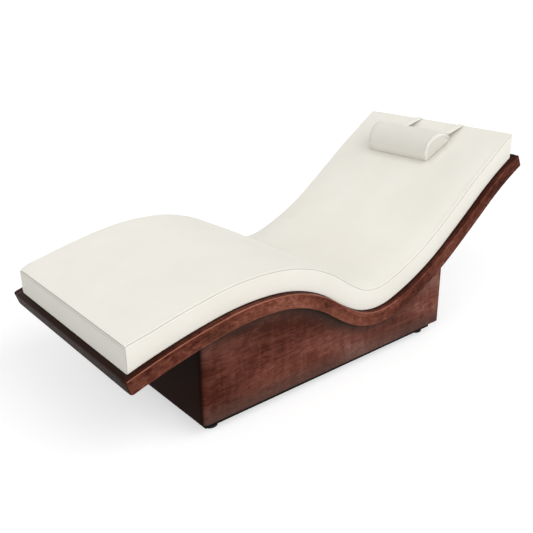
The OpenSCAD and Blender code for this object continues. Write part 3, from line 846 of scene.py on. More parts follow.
@dataclass
class Cushion:
    """One long cushion in a sewn vinyl cover, boxed at its sides, with a topstitched seam at both ends."""

    vinyl: Material
    cloth: Material
    thread: Material
    width: float = 0.716
    side: float = 0.073
    foot_end: float = 0.078
    head_end: float = 0.084
    end_rise: float = 0.120
    crown: float = 0.005
    crown_at: Triple = (0.0, 0.009, 0.070)
    crown_shares: tuple[float, ...] = (0.0, 0.44, 0.75, 1.0)
    end_crown: float = 0.006
    lift: float = 0.0004
    round: float = 0.004
    drawn_in: tuple[float, float] = (0.0016, 0.0008)
    stitch_line: float = 0.0074
    seam_reach: float = 0.0032
    line_reach: float = 0.0014
    seam_depth: float = 0.0010
    band: float = 0.0004
    band_at: tuple[float, float] = (0.001, 0.003)
    wrinkle: float = 0.0002
    wrinkle_at: tuple[float, float] = (0.020, 0.012)
    held: float = 0.010
    held_reach: float = 0.030
    swell_cap: float = 0.004
    soft_corner: float = 0.024
    droop: float = 0.007
    droop_reach: float = 0.05
    low_round: float = 0.003
    pitch: tuple[float, float] = (0.016, 0.018)
    fine: tuple[float, ...] = (0.0, 0.001, 0.0022, 0.0032, 0.0045, 0.006, 0.0074, 0.0088, 0.0115, 0.016,
                               0.023, 0.033)
    low: tuple[float, ...] = (0.72, 0.5, 0.3, 0.15, 0.05, 0.0)
    stitch: float = 0.0046
    stitch_pitch: float = 0.0064
    stitch_thick: float = 0.00042
    stitch_lift: float = 0.0003
    stitch_steps: tuple[float, ...] = (-0.5, -0.42, -0.2, 0.2, 0.42, 0.5)
    stitch_taper: tuple[float, ...] = (0.15, 0.8, 1.0, 1.0, 0.8, 0.15)
    tape_half: float = 0.025
    tape_inset: float = 0.078
    tape_thick: float = 0.0008
    tape_shares: tuple[float, ...] = (0.06, 0.29, 0.5, 0.7, 0.93)
    underside: ClassVar[int] = 1

    def height(self, s: Array) -> Array:
        """Height of the seam over the deck, which rises towards both ends."""
        rise = 1.0 - smooth_step(np.stack([s, CURVE.length - s]) / self.end_rise)
        return self.side + (self.foot_end - self.side) * rise[0] + (self.head_end - self.side) * rise[1]

    def _near(self, s: Array, y: Array) -> tuple[Array, Array]:
        """Distances of places from the nearer end and from the nearer side."""
        return np.minimum(s, CURVE.length - s), self.width / 2 - np.abs(y)

    def _rise_share(self, d: Array) -> Array:
        """Share of the crown at distances from an edge."""
        return np.interp(d, (*self.crown_at, self.width / 2), self.crown_shares)

    def shape(self, s: Array, y: Array, t: Array) -> Array:
        """Space of places in the plain box of the cushion.

        Args:
            s: Distances along the deck.
            y: Distances across.
            t: Depths under the top, in metres.

        Returns:
            Points with rounded arrises, a crown and drawn-in sides.
        """
        tall = self.height(s)
        near_s, near_y = self._near(s, y)
        high = tall - t
        blunt = np.stack([np.maximum(0, self.soft_corner - s),
                          np.maximum(0, self.soft_corner - self.width / 2 + y)])
        reach = np.maximum(np.hypot(*blunt) / self.soft_corner, 1.0)
        s, y = s + blunt[0] * (1 - 1 / reach), y - blunt[1] * (1 - 1 / reach)
        pull = np.stack([np.maximum(0, self.round - near_s), np.maximum(0, self.round - near_y),
                         np.maximum(0, self.round - t)]) / self.round
        base = np.maximum(0, self.low_round - high) / self.low_round
        size = np.sqrt((pull ** 2).sum(0) + base ** 2)
        scale = np.where(size > 1.0, 1.0 / np.maximum(size, TINY), 1.0)
        to_s = (self.round * pull[0] * (1 - scale)) * np.where(s < CURVE.length / 2, 1, -1)
        to_y = (self.round * pull[1] * (1 - scale)) * np.where(y < 0, 1, -1)
        to_z = self.low_round * base * (1 - scale) - self.round * pull[2] * (1 - scale)
        half = tall / 2
        inset = np.where(high < half, self.drawn_in[0] * (1 - high / half) ** 2,
                         self.drawn_in[1] * ((high - half) / half) ** 2)
        across = y + to_y - np.sign(y) * inset * smooth_step(np.abs(y) / (self.width / 2))
        rise = self.crown * self._rise_share(near_y) * self._rise_share(near_s + self.end_crown)
        rise = rise - self.droop * smooth_step(1.0 - np.hypot(s, self.width / 2 - y) / self.droop_reach)
        upward = self.lift + high + to_z + rise * np.clip(high / tall, 0, 1) ** 2
        flat = CURVE.over(s + to_s, upward)
        return np.stack([flat[..., 0], across, flat[..., 1]], -1)

    def _groove(self, s: Array, y: Array, t: Array) -> Array:
        """Seam mark of places in the plain box.

        Args:
            s: Distances along the deck.
            y: Distances across.
            t: Depths under the top, in metres.

        Returns:
            Marks from 0 to 1, which is on a seam.
        """
        near_s, near_y = self._near(s, y)
        on_top, on_end = t < ON_SIDE, near_s < ON_SIDE
        arris = np.where(on_top, np.minimum(near_s, near_y), t)
        corner = np.where(on_top, 1.0, np.maximum(near_s, near_y))
        mark = np.clip(1 - np.minimum(arris, corner) / self.seam_reach, 0, 1)
        stitched = np.clip(1 - np.abs(t - self.stitch_line) / self.line_reach, 0, 1) * (near_y > self.round)
        return np.maximum(mark, np.where(on_end, 0.5 * stitched, 0.0))

    def _sheets(self) -> list[tuple[Array, Array, Array]]:
        """The six sides of the plain box.

        Returns:
            Grids of places s, y and t on the top, the underside, both long sides and both ends.
        """
        s = mirrored_lines(self.fine, CURVE.length, self.pitch[0])
        y = mirrored_lines(self.fine, self.width, self.pitch[1]) - self.width / 2
        upper = np.array(self.fine[:-1])
        depth = np.concatenate([upper, np.full(len(self.low), np.nan)])

        def deep(at: Array) -> Array:
            """Depth lines under the top.

            Args:
                at: Places along the cushion.

            Returns:
                A row of depths for each place.
            """
            tall = self.height(at)[:, None] * np.ones(len(depth))
            low = tall - (tall - self.fine[-1]) * np.concatenate([np.ones(len(upper)), self.low])[None, :]
            return np.where(np.isnan(depth), low, depth)

        grid_s, grid_y = np.meshgrid(s, y, indexing="ij")
        sheets = [(grid_s, grid_y, np.zeros_like(grid_s)), (grid_s, grid_y, self.height(grid_s))]
        for side in (-1, 1):
            sheets.append(tuple(np.broadcast_arrays(s[:, None], side * self.width / 2, deep(s))))
        for end in (0.0, CURVE.length):
            sheets.append(tuple(np.broadcast_arrays(end, y[:, None], deep(np.array([end])))))
        return sheets

    def cover(self) -> None:
        """Builds the cover over its foam, and its topstitching."""
        skin = Skin()
        source = []
        for index, (s, y, t) in enumerate(self._sheets()):
            marks = None if index == self.underside else self._groove(s, y, t)
            skin.grid(self.shape(s, y, t), np.stack([s, y + t], -1), marks)
            source.append(np.stack([s, y, t], -1).reshape(-1, 3))
        made = skin.piece("cushion", self.vinyl)
        start = vertices_of(made)
        s, y, t = self._nearest(np.concatenate(skin.points), np.concatenate(source), start).T
        near_s, near_y = self._near(s, y)
        tall = self.height(s)
        reach = np.maximum.reduce([np.minimum(near_s, near_y) * (t < ON_SIDE),
                                   np.minimum.reduce([t, tall - t, near_s]) * (near_y < ON_SIDE),
                                   np.minimum.reduce([t, tall - t, near_y]) * (near_s < ON_SIDE)])
        free = smooth_step((reach - self.held) / self.held_reach) * (t < tall - ON_SIDE)
        swell(made, free, self.swell_cap)
        seam = np.zeros(len(start), np.float32)
        made.data.attributes["seam"].data.foreach_get("value", seam)
        move = self._relief(s, y, t, seam)
        move_points(made, vertices_of(made) + vertices_of(made, "normal") * move[:, None])
        made.data.materials.append(self.cloth)
        under = [int(all(t[v] > tall[v] - ON_SIDE for v in f.vertices)) for f in made.data.polygons]
        made.data.polygons.foreach_set("material_index", under)
        subdivide(made)
        stand_in(made, "lounger", "vinyl", "cushion_cover", "comfort_foam", "firm_foam", "bottom_cloth")
        self._stitches(made, s, y, t)

    def _relief(self, s: Array, y: Array, t: Array, seam: Array) -> Array:
        """Fine relief of the swollen cover: sunk seams, and soft wrinkles and bands beside them.

        Args:
            s: Each vertex's distance along the deck.
            y: Each vertex's distance across.
            t: Each vertex's depth under the top, in metres.
            seam: Each vertex's seam mark.

        Returns:
            Each vertex's move along its normal.
        """
        near_s, near_y = self._near(s, y)
        edge = np.minimum(near_s, near_y)
        on_top = t < ON_SIDE
        wave = self.wrinkle * np.sin(s * 190.0 + 3 * np.sin(s * 41.0)) + self.wrinkle * np.sin(
            y * 210.0 + 2 * np.sin(y * 37.0))
        wave = wave * (bell(edge, *self.wrinkle_at) * on_top)
        band = bell(t, *self.band_at) * (near_s < ON_SIDE) + bell(edge, *self.band_at) * on_top
        return -self.seam_depth * seam ** 1.5 + wave + self.band * band

    @staticmethod
    def _nearest(every: Array, source: Array, start: Array) -> Array:
        """Plain-box place of each welded vertex, found by its point in space.

        Args:
            every: Points before welding.
            source: The plain-box place of each of them.
            start: Points after welding.

        Returns:
            The plain-box place of each welded point.
        """
        keys = {tuple(k): i for i, k in enumerate(np.round(every * KEY_SCALE).astype(np.int64).tolist())}
        found = []
        for p in start:
            hit = keys.get(tuple(np.round(p * KEY_SCALE).astype(np.int64).tolist()))
            if hit is None:
                hit = int(np.argmin(((every - p) ** 2).sum(1)))
            found.append(hit)
        return source[np.array(found)]

    def _stitches(self, cover: Piece, s: Array, y: Array, t: Array) -> None:
        """Adds the topstitching under the arris of both ends.

        Args:
            cover: The finished cover.
            s: Each vertex's distance along the deck.
            y: Each vertex's distance across.
            t: Each vertex's depth under the top, in metres.
        """
        places, normals = vertices_of(cover), vertices_of(cover, "normal")
        skin = Skin()
        angles = np.linspace(0, 2 * np.pi, 7)
        for end in (0.0, CURVE.length):
            chosen = np.nonzero((np.abs(s - end) < ON_SIDE) & (np.abs(t - self.stitch_line) < ON_SIDE)
                                & (np.abs(y) < self.width / 2 - self.round - ON_SIDE))[0]
            chosen = chosen[np.argsort(y[chosen])]
            run = y[chosen]
            for middle in np.arange(run[0] + self.stitch, run[-1] - self.stitch, self.stitch_pitch):
                steps = middle + self.stitch * np.array(self.stitch_steps)
                path = np.stack([np.interp(steps, run, places[chosen, k]) for k in range(3)], -1)
                out = np.stack([np.interp(steps, run, normals[chosen, k]) for k in range(3)], -1)
                out /= np.linalg.norm(out, axis=1, keepdims=True)
                size = self.stitch_thick * np.array(self.stitch_taper)
                side = np.cross(out, (0.0, 1.0, 0.0))
                lifted = path + out * self.stitch_lift
                ring = (lifted[:, None, :] + size[:, None, None] * (
                    np.cos(angles)[None, :, None] * out[:, None, :]
                    + np.sin(angles)[None, :, None] * side[:, None, :]))
                skin.grid(ring)
        stand_in(skin.piece("cushion_stitches", self.thread), "lounger", "tape_white")

    def tapes(self) -> None:
        """Lays the hook and loop tapes between the cushion and its deck."""
        for name, low, finish, slot in (("deck_hook_tapes", 0.0003, self.cloth, "black_cloth"),
                                        ("cushion_loop_tapes", 0.0016, self.thread, "tape_white")):
            skin = Skin()
            for share in self.tape_shares:
                s = share * CURVE.length + np.linspace(-self.tape_half, self.tape_half, 7)
                y = np.linspace(-1, 1, 61) * (self.width / 2 - self.tape_inset)
                for rise, flip in ((low, True), (low + self.tape_thick, False)):
                    line = CURVE.at(s, np.full(len(s), rise))
                    block = np.stack(np.broadcast_arrays(line[:, None, 0], y[None, :], line[:, None, 1]), -1)
                    skin.grid(block, flip=flip)
            stand_in(skin.piece(f"{name}_cloth", finish), "lounger", slot, name)


@dataclass
class NeckPillow:
    """Half-round neck pillow, flat side down, with piped ends."""

    vinyl: Material
    length: float = 0.310
    radius: float = 0.072
    centre: Triple = (0.696829, 0.036, 0.628217)
    slope: float = 34.1182
    round: float = 0.006
    fullness: float = 0.92
    pinch: float = 0.035
    pinch_reach: float = 0.010
    piping: float = 0.0034
    piping_in: float = 0.0012
    swell_cap: float = 0.0035
    held_reach: float = 0.020
    base_held: float = 0.002
    base_reach: float = 0.014
    crease: float = 0.0008
    crease_at: tuple[float, float] = (0.004, 0.0035)
    pucker: float = 0.0004
    pucker_at: tuple[float, float] = (0.014, 0.012)
    puckers: float = 31.0
    middle_puff: float = 0.0012
    fine: tuple[float, ...] = (0.0, 0.0015, 0.003, 0.006, 0.012, 0.022, 0.036)
    pitch: float = 0.012
    cap_shares: tuple[float, ...] = (1.0, 0.985, 0.96, 0.93, 0.88, 0.8, 0.68, 0.52, 0.35, 0.18, 0.0)
    cap_heart: float = 0.40
    # Painted shade over the end faces, fading out near their rim.
    cap_shade: float = 0.36
    cap_shade_from: float = 0.97
    cap_shade_reach: float = 0.09
    end_puff: float = 0.008
    end_lean: float = 0.020
    lean_reach: float = 0.070

    def place(self, along: Array, y: Array, up: Array) -> Array:
        """Space of places in the pillow's own frame.

        Args:
            along: Distances along the cushion from the pillow's middle.
            y: Distances across from it.
            up: Heights over its flat side.

        Returns:
            Points in space.
        """
        run, rise = turned(np.array(self.slope))
        flat = np.multiply.outer(along, run) + np.multiply.outer(up, rise)
        x, z = flat[..., 0] + self.centre[0], flat[..., 1] + self.centre[2]
        return np.stack([x, y + self.centre[1], z], -1)

    def _section(self, inset: float) -> tuple[Array, Array]:
        """Closed outline across the pillow, its round side first.

        Args:
            inset: Distance inside the full outline.

        Returns:
            Places along the cushion and up from it.
        """
        r = self.radius - inset
        a = np.linspace(0, np.pi, 41)
        body = np.stack([-r * np.cos(a), inset + (r - inset) * np.sin(a) ** self.fullness], -1)
        body[:, 1] = np.maximum(body[:, 1], 0.0)
        base = np.linspace(1, -1, 15)[1:-1] * (r - 0.001)
        under = np.stack([base, np.full_like(base, inset * 0.4)], -1)
        outline = np.concatenate([body, under, body[:1]])
        outline[:, 0] *= 1 - self.pinch * bell(outline[:, 1], 0.0, self.pinch_reach)
        return outline[:, 0], outline[:, 1]

    def cover(self) -> None:
        """Builds the pillow's cover and its piping."""
        half = self.length / 2 - self.end_puff
        y = mirrored_lines(self.fine, 2 * half, self.pitch) - half
        skin = Skin()
        rings = []
        for at in y:
            near = half - abs(at)
            bent = max(0.0, self.round - near) / self.round
            inset = self.round * (1 - math.sqrt(max(0.0, 1 - bent ** 2)))
            along, up = self._section(inset)
            rings.append(self.place(along, np.full(len(along), at), up))
        skin.grid(np.stack(rings))
        for end, ring in ((-1, rings[0]), (1, rings[-1])):
            heart = self.place(np.array(0.0), np.array(end * half), np.array(self.radius * self.cap_heart))
            shares = np.array(self.cap_shares)
            cap = heart + shares[:, None, None] * (ring[None] - heart)
            cap[..., 1] += end * self.end_puff * (1 - shares[:, None] ** 5) ** 0.6
            # The end faces get painted shade through the seam mark.
            marks = self.cap_shade * smooth_step((self.cap_shade_from - shares) / self.cap_shade_reach)
            skin.grid(cap, marks=np.broadcast_to(marks[:, None], cap.shape[:2]), flip=end > 0)
        made = skin.piece("neck_pillow", self.vinyl)
        self._shape(made, half)
        subdivide(made)
        stand_in(made, "pillow", "vinyl", "pillow_cover", "pillow_base", "pillow_core")
        self._piping(half)

    def _shape(self, made: Piece, half: float) -> None:
        """Swells the cover between its seams, and creases it beside the piping.

        Args:
            made: The cover.
            half: Half of the pillow's length.
        """
        start = vertices_of(made)
        across = half - np.abs(start[:, 1] - self.centre[1])
        flat = start[:, (0, 2)] - np.array(self.centre)[[0, 2]]
        run, rise = (flat @ way for way in turned(np.array(self.slope)))
        edge = np.where(across > 1e-4, across, self.radius - np.linalg.norm(flat, axis=1))
        above = smooth_step((rise - self.base_held) / self.base_reach)
        free = smooth_step(np.abs(edge) / self.held_reach) * above
        swell(made, free, self.swell_cap)
        out = vertices_of(made, "normal")
        inner = across > 1e-3
        crease = self.crease * bell(across, *self.crease_at)
        waves = self.pucker * np.sin(np.arctan2(rise, run) * self.puckers)
        waves = waves * bell(across, *self.pucker_at) * inner
        full = self.middle_puff * np.sin(np.clip(across / self.length, 0, 1) * np.pi) * inner
        moved = vertices_of(made) + out * (waves + full - crease)[:, None] * free[:, None] ** 0.5
        moved[:, 1] += self._leaning(run, start[:, 1] - self.centre[1], half)
        move_points(made, moved)

    def _leaning(self, run: Array, y: Array, half: float) -> Array:
        """Outward lean of the ends, which grows towards the straps' side.

        Args:
            run: Distances along the cushion from the pillow's middle.
            y: Distances across from the pillow's middle.
            half: Distance across of the end seams.

        Returns:
            Move across of each place.
        """
        behind = smooth_step(0.5 + run / self.radius / 2.0)
        return np.sign(y) * self.end_lean * behind * smooth_step(
            (np.abs(y) - half + self.lean_reach) / self.lean_reach)

    def _piping(self, half: float) -> None:
        """Sews a piping cord round the arris of both ends.

        Args:
            half: Distance across of the end seams.
        """
        skin = Skin()
        turn = np.linspace(0, 2 * np.pi, 11)
        a = np.linspace(0.02, np.pi - 0.02, 60)
        level = np.zeros(len(a))
        r = self.radius - self.piping_in
        out = self.place(-np.cos(a), level, np.sin(a)) - np.array(self.centre)
        for end in (-1, 1):
            across = end * (half - self.piping_in) + self._leaning(-r * np.cos(a), level + end * half, half)
            path = self.place(-r * np.cos(a), across, r * np.sin(a) ** self.fullness + self.piping_in)
            side = np.array([0.0, float(end), 0.0])
            skin.grid(path[:, None] + self.piping / 2 * (
                np.cos(turn)[None, :, None] * out[:, None] + np.sin(turn)[None, :, None] * side))
        stand_in(skin.piece("pillow_piping", self.vinyl), "pillow", "vinyl")


@dataclass
class Straps:
    """Two flat straps from the pillow over the cushion's head edge, and the patches that hold them."""

    vinyl: Material
    width: float = 0.029
    thick: float = 0.0025
    pitch: float = 0.212
    middle: float = -0.016
    tail: float = 0.070
    start: tuple[float, float] = (0.7358, 0.690858)
    edge: tuple[float, float] = (0.832365, 0.711296)
    stand_off: float = 0.0021
    blend_in: Triple = (0.012, 0.008, 0.004)
    patch: tuple[float, float] = (0.0015, 0.060)
    patch_gap: float = 0.0003

    def _path(self) -> Array:
        """Side view's line under the strap.

        Returns:
            X and Z of points from the pillow to the strap's lower end.
        """
        start, edge = np.array(self.start), np.array(self.edge)
        toward = edge - start
        slope = math.degrees(math.atan2(toward[1], toward[0])) + math.degrees(
            math.asin(self.stand_off / np.linalg.norm(toward)))
        arc = edge + self.stand_off * turned(np.linspace(slope, -90.0, 13))[1]
        run = start + np.linspace(0, 1, 22)[:, None] * (arc[0] - start)
        down = arc[-1] + np.linspace(0, 1, 12)[1:, None] * np.array([0.0, -self.tail])
        return np.concatenate([run[:-1], arc, down])

    def build(self) -> None:
        """Builds both straps and their patches."""
        path = self._path()
        tangent = np.gradient(path, axis=0)
        tangent /= np.linalg.norm(tangent, axis=1, keepdims=True)
        up = np.stack([-tangent[:, 1], tangent[:, 0]], -1)
        r = self.thick / 2
        half = self.width / 2
        hem, hollow = self.thick * 0.85, self.thick * 0.93
        top = np.array([(-half, r), (-half + 0.0006, hem), (-half + 0.0025, self.thick),
                        (-half + 0.004, hollow), (0, self.thick), (half - 0.004, hollow),
                        (half - 0.0025, self.thick), (half - 0.0006, hem), (half, r),
                        (half - 0.0008, 0.0), (0, 0.0), (-half + 0.0008, 0.0), (-half, r)])
        for name, side in (("right", -1), ("left", 1)):
            y = self.middle + side * self.pitch / 2
            block = np.stack([np.stack([path[:, 0] + up[:, 0] * z, np.full(len(path), y + x),
                                        path[:, 1] + up[:, 1] * z], -1) for x, z in top], 1)
            skin = Skin()
            skin.grid(block)
            for ring, flip in ((block[0], False), (block[-1], True)):
                skin.grid(np.stack([ring, np.broadcast_to(ring.mean(0), ring.shape)]), flip=flip)
            made = skin.piece(f"strap_{name}_band", self.vinyl)
            subdivide(made)
            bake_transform(made)
            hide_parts(f"strap_{name}")
            LOG.info("%s: %d points", made.name, len(made.data.vertices))
        self._patches()

    def _patches(self) -> None:
        """Builds the sewn patches on the cushion's head face."""
        skin = Skin()
        x0 = self.edge[0] + self.patch_gap
        low = self.edge[1] - self.tail
        gv, gw = np.meshgrid(np.linspace(-1, 1, 15), np.linspace(0, 1, 19))
        rim = np.minimum((1 - np.abs(gv)) * self.width / 2, np.minimum(gw, 1 - gw) * self.patch[1])
        puff = self.patch[0] * (0.55 + 0.45 * smooth_step(rim / 0.003)) - 0.0005 * bell(rim, 0.0035, 0.001)
        for side in (-1, 1):
            y0 = self.middle + side * self.pitch / 2
            front = np.stack([x0 + puff, y0 + gv * self.width / 2, low + gw * self.patch[1]], -1)
            back = front.copy()
            back[..., 0] = x0
            skin.grid(front)
            skin.grid(back, flip=True)
            for edge in (np.s_[0], np.s_[-1], np.s_[:, 0], np.s_[:, -1]):
                skin.grid(np.stack([front[edge], back[edge]]))
        stand_in(skin.piece("strap_patches_sewn", self.vinyl), "lounger", "vinyl", "strap_patches")


@dataclass
class Tray:
    """Bent tray: two side rails and two end rails in veneer round the deck."""

    veneer: Material
    end_veneer: Material
    width: float = 0.762
    thick: float = 0.022
    end_thick: float = 0.022
    high: float = 0.0465
    soft: float = 0.0025
    beside_arris: float = 0.0012
    corner: float = 0.009
    corner_lift: float = 0.4
    fine: tuple[float, ...] = (0.0, 0.0003, 0.001, 0.002, 0.0035, 0.006, 0.010)
    pitch: float = 0.010
    # Painted highlights along the outer arrises, and painted shade on the top beside the cushion, towards the
    # back and towards the foot.
    highlight_top: tuple[float, float] = (0.0006, 0.0008)
    highlight_low: tuple[float, float] = (0.0008, 0.0015)
    highlight_low_share: float = 0.7
    highlight_limit: float = 0.25
    outer_reach: float = 1.2
    inward_reach: float = 0.6
    top_reach: tuple[float, float] = (0.002, 0.001)
    top_shade: tuple[float, float] = (0.34, 0.36)
    back_shade: float = 0.36
    back_dull: float = 0.80
    back_from: tuple[float, float] = (1.02, 1.16)
    foot_shade: float = 0.46
    foot_to: float = 0.27

    def outline(self, across: float, high: float, soft: float) -> Array:
        """Closed section of a rail with softened arrises.

        Args:
            across: Its width.
            high: Its height.
            soft: Radius of its arrises.

        Returns:
            Distance across and rise of its points from its lower corner.
        """
        arc = np.linspace(0, np.pi / 2, 4)
        corners = [(across - soft, high - soft, 0.0), (soft, high - soft, np.pi / 2), (soft, soft, np.pi),
                   (across - soft, soft, 1.5 * np.pi)]
        points = [(x + soft * math.cos(a + b), z + soft * math.sin(a + b))
                  for x, z, b in corners for a in arc]
        beside = (across - soft - self.beside_arris, high)
        return np.array(points[:4] + [beside] + points[4:] + points[:1])

    def _marks(self, section: Array, width: float, back: float, foot: float) -> Array:
        """Marks round a section: below 0 for painted highlights on the arrises, above 0 for painted shade on
        the top next to the cushion.

        Args:
            section: Distance across and rise of the section's points.
            width: The section's width.
            back: Up to 1 at the back, where the painted highlight is dull and the painted shade deeper.
            foot: Up to 1 at the foot, where the painted shade is deeper.

        Returns:
            Each point's mark.
        """
        below = section[:, 1] - self.high
        outer = (section[:, 0] > width - self.outer_reach * self.soft) * 1.0
        # Painted highlights on the outer arrises, at the top and the bottom.
        painted_highlight = outer * (bell(below, -self.highlight_top[0], self.highlight_top[1])
                        + self.highlight_low_share * bell(section[:, 1], *self.highlight_low))
        # Painted shade on the top beside the cushion, and more towards the back and the foot.
        inward = smooth_step((1.0 - section[:, 0] / width) / self.inward_reach)
        top = smooth_step((below + self.top_reach[0]) / self.top_reach[1])
        painted_shade = top * (self.top_shade[0] + self.top_shade[1] * inward) * (1 - outer)
        painted_shade = painted_shade + back * self.back_shade + foot * self.foot_shade * (painted_highlight < self.highlight_limit)
        return np.clip(painted_shade - painted_highlight * (1 - self.back_dull * back), -1.0, 1.0)

    def _strip(self, node: str, name: str, line: Array, rail: "Rail") -> None:
        """Sweeps the rail's section along a line and closes its ends.

        Args:
            node: The frame node that the piece stands for.
            name: The piece's name.
            line: Distances along the rail.
            rail: Gives the section and its place in space at each distance.
        """
        skin = Skin()
        blocks, places, marks = [], [], []
        for at in line:
            section = rail.section(at)
            blocks.append(rail.place(at, section))
            # Painted shade grows towards the back and the foot of the side rails.
            reach = np.array([(at - self.back_from[0]) / (self.back_from[1] - self.back_from[0]),
                              1 - at / self.foot_to])
            back, foot = smooth_step(reach) * rail.long
            marks.append(self._marks(section, rail.width, back, foot))
            girth = np.concatenate([[0], np.cumsum(np.linalg.norm(np.diff(section, axis=0), axis=1))])
            places.append(np.stack([np.full(len(girth), at), girth], -1))
        block, laid = np.stack(blocks), np.stack(places)
        skin.grid(block, laid, np.stack(marks))
        for ring, uv, flip in ((block[0], laid[0], True), (block[-1], laid[-1], False)):
            heart = ring.mean(0)
            skin.grid(np.stack([ring, heart + 0.5 * (ring - heart), np.broadcast_to(heart, ring.shape)]),
                      np.stack([uv, uv + (0.004, 0), uv + (0.008, 0)]), flip=flip)
        made = skin.piece(name, self.veneer if rail.long else self.end_veneer)
        made.modifiers.new("arris", "WEIGHTED_NORMAL").keep_sharp = True
        stand_in(made, "lounger", "veneer", node)

    def build(self) -> None:
        """Builds the four rails."""
        total = CURVE.length + CURVE.foot_lip + CURVE.head_lip
        along = mirrored_lines(self.fine, total, self.pitch) - CURVE.foot_lip
        for name, side in (("right", -1), ("left", 1)):
            self._strip(f"side_rail_{name}", f"side_rail_{name}_bent", along,
                        SideRail(self, self.thick, side))
        inner = self.width / 2 - self.thick
        across = np.linspace(-inner, inner, 49)
        head = CURVE.length + CURVE.head_lip - self.end_thick
        for name, start, outer in (("foot", -CURVE.foot_lip, -1), ("head", head, 1)):
            self._strip(f"{name}_rail", f"{name}_rail_strip", across,
                        EndRail(self, self.end_thick, start, outer))


@dataclass
class Rail:
    """Section of one rail and its place in space, at distances along it."""

    tray: Tray
    width: float
    long: ClassVar[bool] = False

    def section(self, at: float) -> Array:
        """Section at a distance along the rail."""
        return self.tray.outline(self.width, self.tray.high, self.tray.soft)

    def place(self, at: float, section: Array) -> Array:
        """Space of a section's points at a distance along the rail."""
        raise NotImplementedError


@dataclass
class SideRail(Rail):
    """Bent side rail, its outer face drawn in near the ends."""

    side: int
    long: ClassVar[bool] = True

    def section(self, at: float) -> Array:
        """Section of the rail.

        Args:
            at: Distance along the deck.

        Returns:
            Distance across and rise of the section's points.
        """
        tray = self.tray
        near = min(at + CURVE.foot_lip, CURVE.length + CURVE.head_lip - at)
        cut = tray.corner - math.sqrt(max(0.0, tray.corner ** 2 - max(0.0, tray.corner - near) ** 2))
        lift = tray.corner_lift * cut
        return tray.outline(self.width - cut, tray.high - 2 * lift, tray.soft) + np.array([0.0, lift])

    def place(self, at: float, section: Array) -> Array:
        """Space of a section's points.

        Args:
            at: Distance along the deck.
            section: Distance across and rise of the section's points.

        Returns:
            Points in space.
        """
        flat = CURVE.at(np.full(len(section), at), section[:, 1] - self.tray.high)
        inner = self.tray.width / 2 - self.width
        return np.stack([flat[:, 0], self.side * (inner + section[:, 0]), flat[:, 1]], -1)


@dataclass
class EndRail(Rail):
    """Straight end rail between the side rails."""

    start: float
    outer: int

    def place(self, at: float, section: Array) -> Array:
        """Space of a section's points.

        Args:
            at: Distance across the tray.
            section: Distance along the deck and rise of the section's points.

        Returns:
            Points in space.
        """
        run = section[:, 0] if self.outer > 0 else self.width - section[:, 0]
        flat = CURVE.at(self.start + run, section[:, 1] - self.tray.high)
        return np.stack([flat[:, 0], np.full(len(section), at), flat[:, 1]], -1)


@dataclass
class Base:
    """Veneered box under the tray: its rounded corner posts, and the veneer of its flat panels."""

    veneer: Material
    foot_x: float = -0.630
    head_x: float = 0.466
    half: float = 0.357
    post: float = 0.045
    round: float = 0.020
    low: float = 0.044
    under: float = 0.0183
    crisp: float = 35.0

    def _top(self, x: Array) -> Array:
        """Height of the deck's underside.

        Args:
            x: Places along X.

        Returns:
            The height over each place.
        """
        s = np.linspace(0, CURVE.length, 4000)
        line = CURVE.at(s, np.full(len(s), -self.under))
        return np.interp(x, line[:, 0], line[:, 1])

    def posts(self) -> None:
        """Builds the four posts with a smooth rounded outer corner."""
        arc = np.linspace(0, np.pi / 2, 13)
        p, r = self.post, self.round
        rounded = [(r - r * math.sin(a), r - r * math.cos(a)) for a in arc]
        plan = np.array([(p, 0.0), *rounded, (0.0, p), (p, p), (p, 0.0)])
        girth = np.concatenate([[0], np.cumsum(np.linalg.norm(np.diff(plan, axis=0), axis=1))])
        for name, (end, side) in ENDS.items():
            corner_x = self.foot_x if end < 0 else self.head_x
            x = corner_x - end * plan[:, 0]
            y = side * (self.half - plan[:, 1])
            top = self._top(x)
            levels = np.linspace(0, 1, 13)[:, None]
            z = self.low + levels * (top - self.low)[None, :]
            block = np.stack([np.broadcast_to(x, z.shape), np.broadcast_to(y, z.shape), z], -1)
            run = corner_x - end * (p - girth)
            laid = np.stack([np.broadcast_to(run, z.shape), z], -1)
            skin = Skin()
            skin.grid(block, laid)
            for ring, uv in ((block[0], laid[0]), (block[-1], laid[-1])):
                heart = ring[:-1].mean(0)
                skin.grid(np.stack([ring, np.broadcast_to(heart, ring.shape)]), np.stack([uv, uv]))
            made = skin.piece(f"post_{name}_round", self.veneer)
            self._sharpen(made)
            stand_in(made, "lounger", "veneer_panel", f"post_{name}")

    def _sharpen(self, made: Piece) -> None:
        """Keeps the square corners of a piece crisp.

        Args:
            made: The piece.
        """
        work = bmesh.new()
        work.from_mesh(made.data)
        for edge in work.edges:
            edge.smooth = not (edge.is_manifold and edge.calc_face_angle(0.0) > math.radians(self.crisp))
        work.to_mesh(made.data)
        work.free()

    def panels(self) -> None:
        """Gives the flat panels their veneer."""
        for name in ("side_panel_right", "side_panel_left", "foot_panel", "head_panel"):
            dress(name, self.veneer)


def dress(node: str, material: Material) -> None:
    """Gives a frame node a finish.

    Args:
        node: The node's name.
        material: The finish.
    """
    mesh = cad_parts[node].data
    if not mesh.materials:
        mesh.materials.append(material)
    for index in range(len(mesh.materials)):
        mesh.materials[index] = material
    LOG.info("%s: %s", node, material.name)


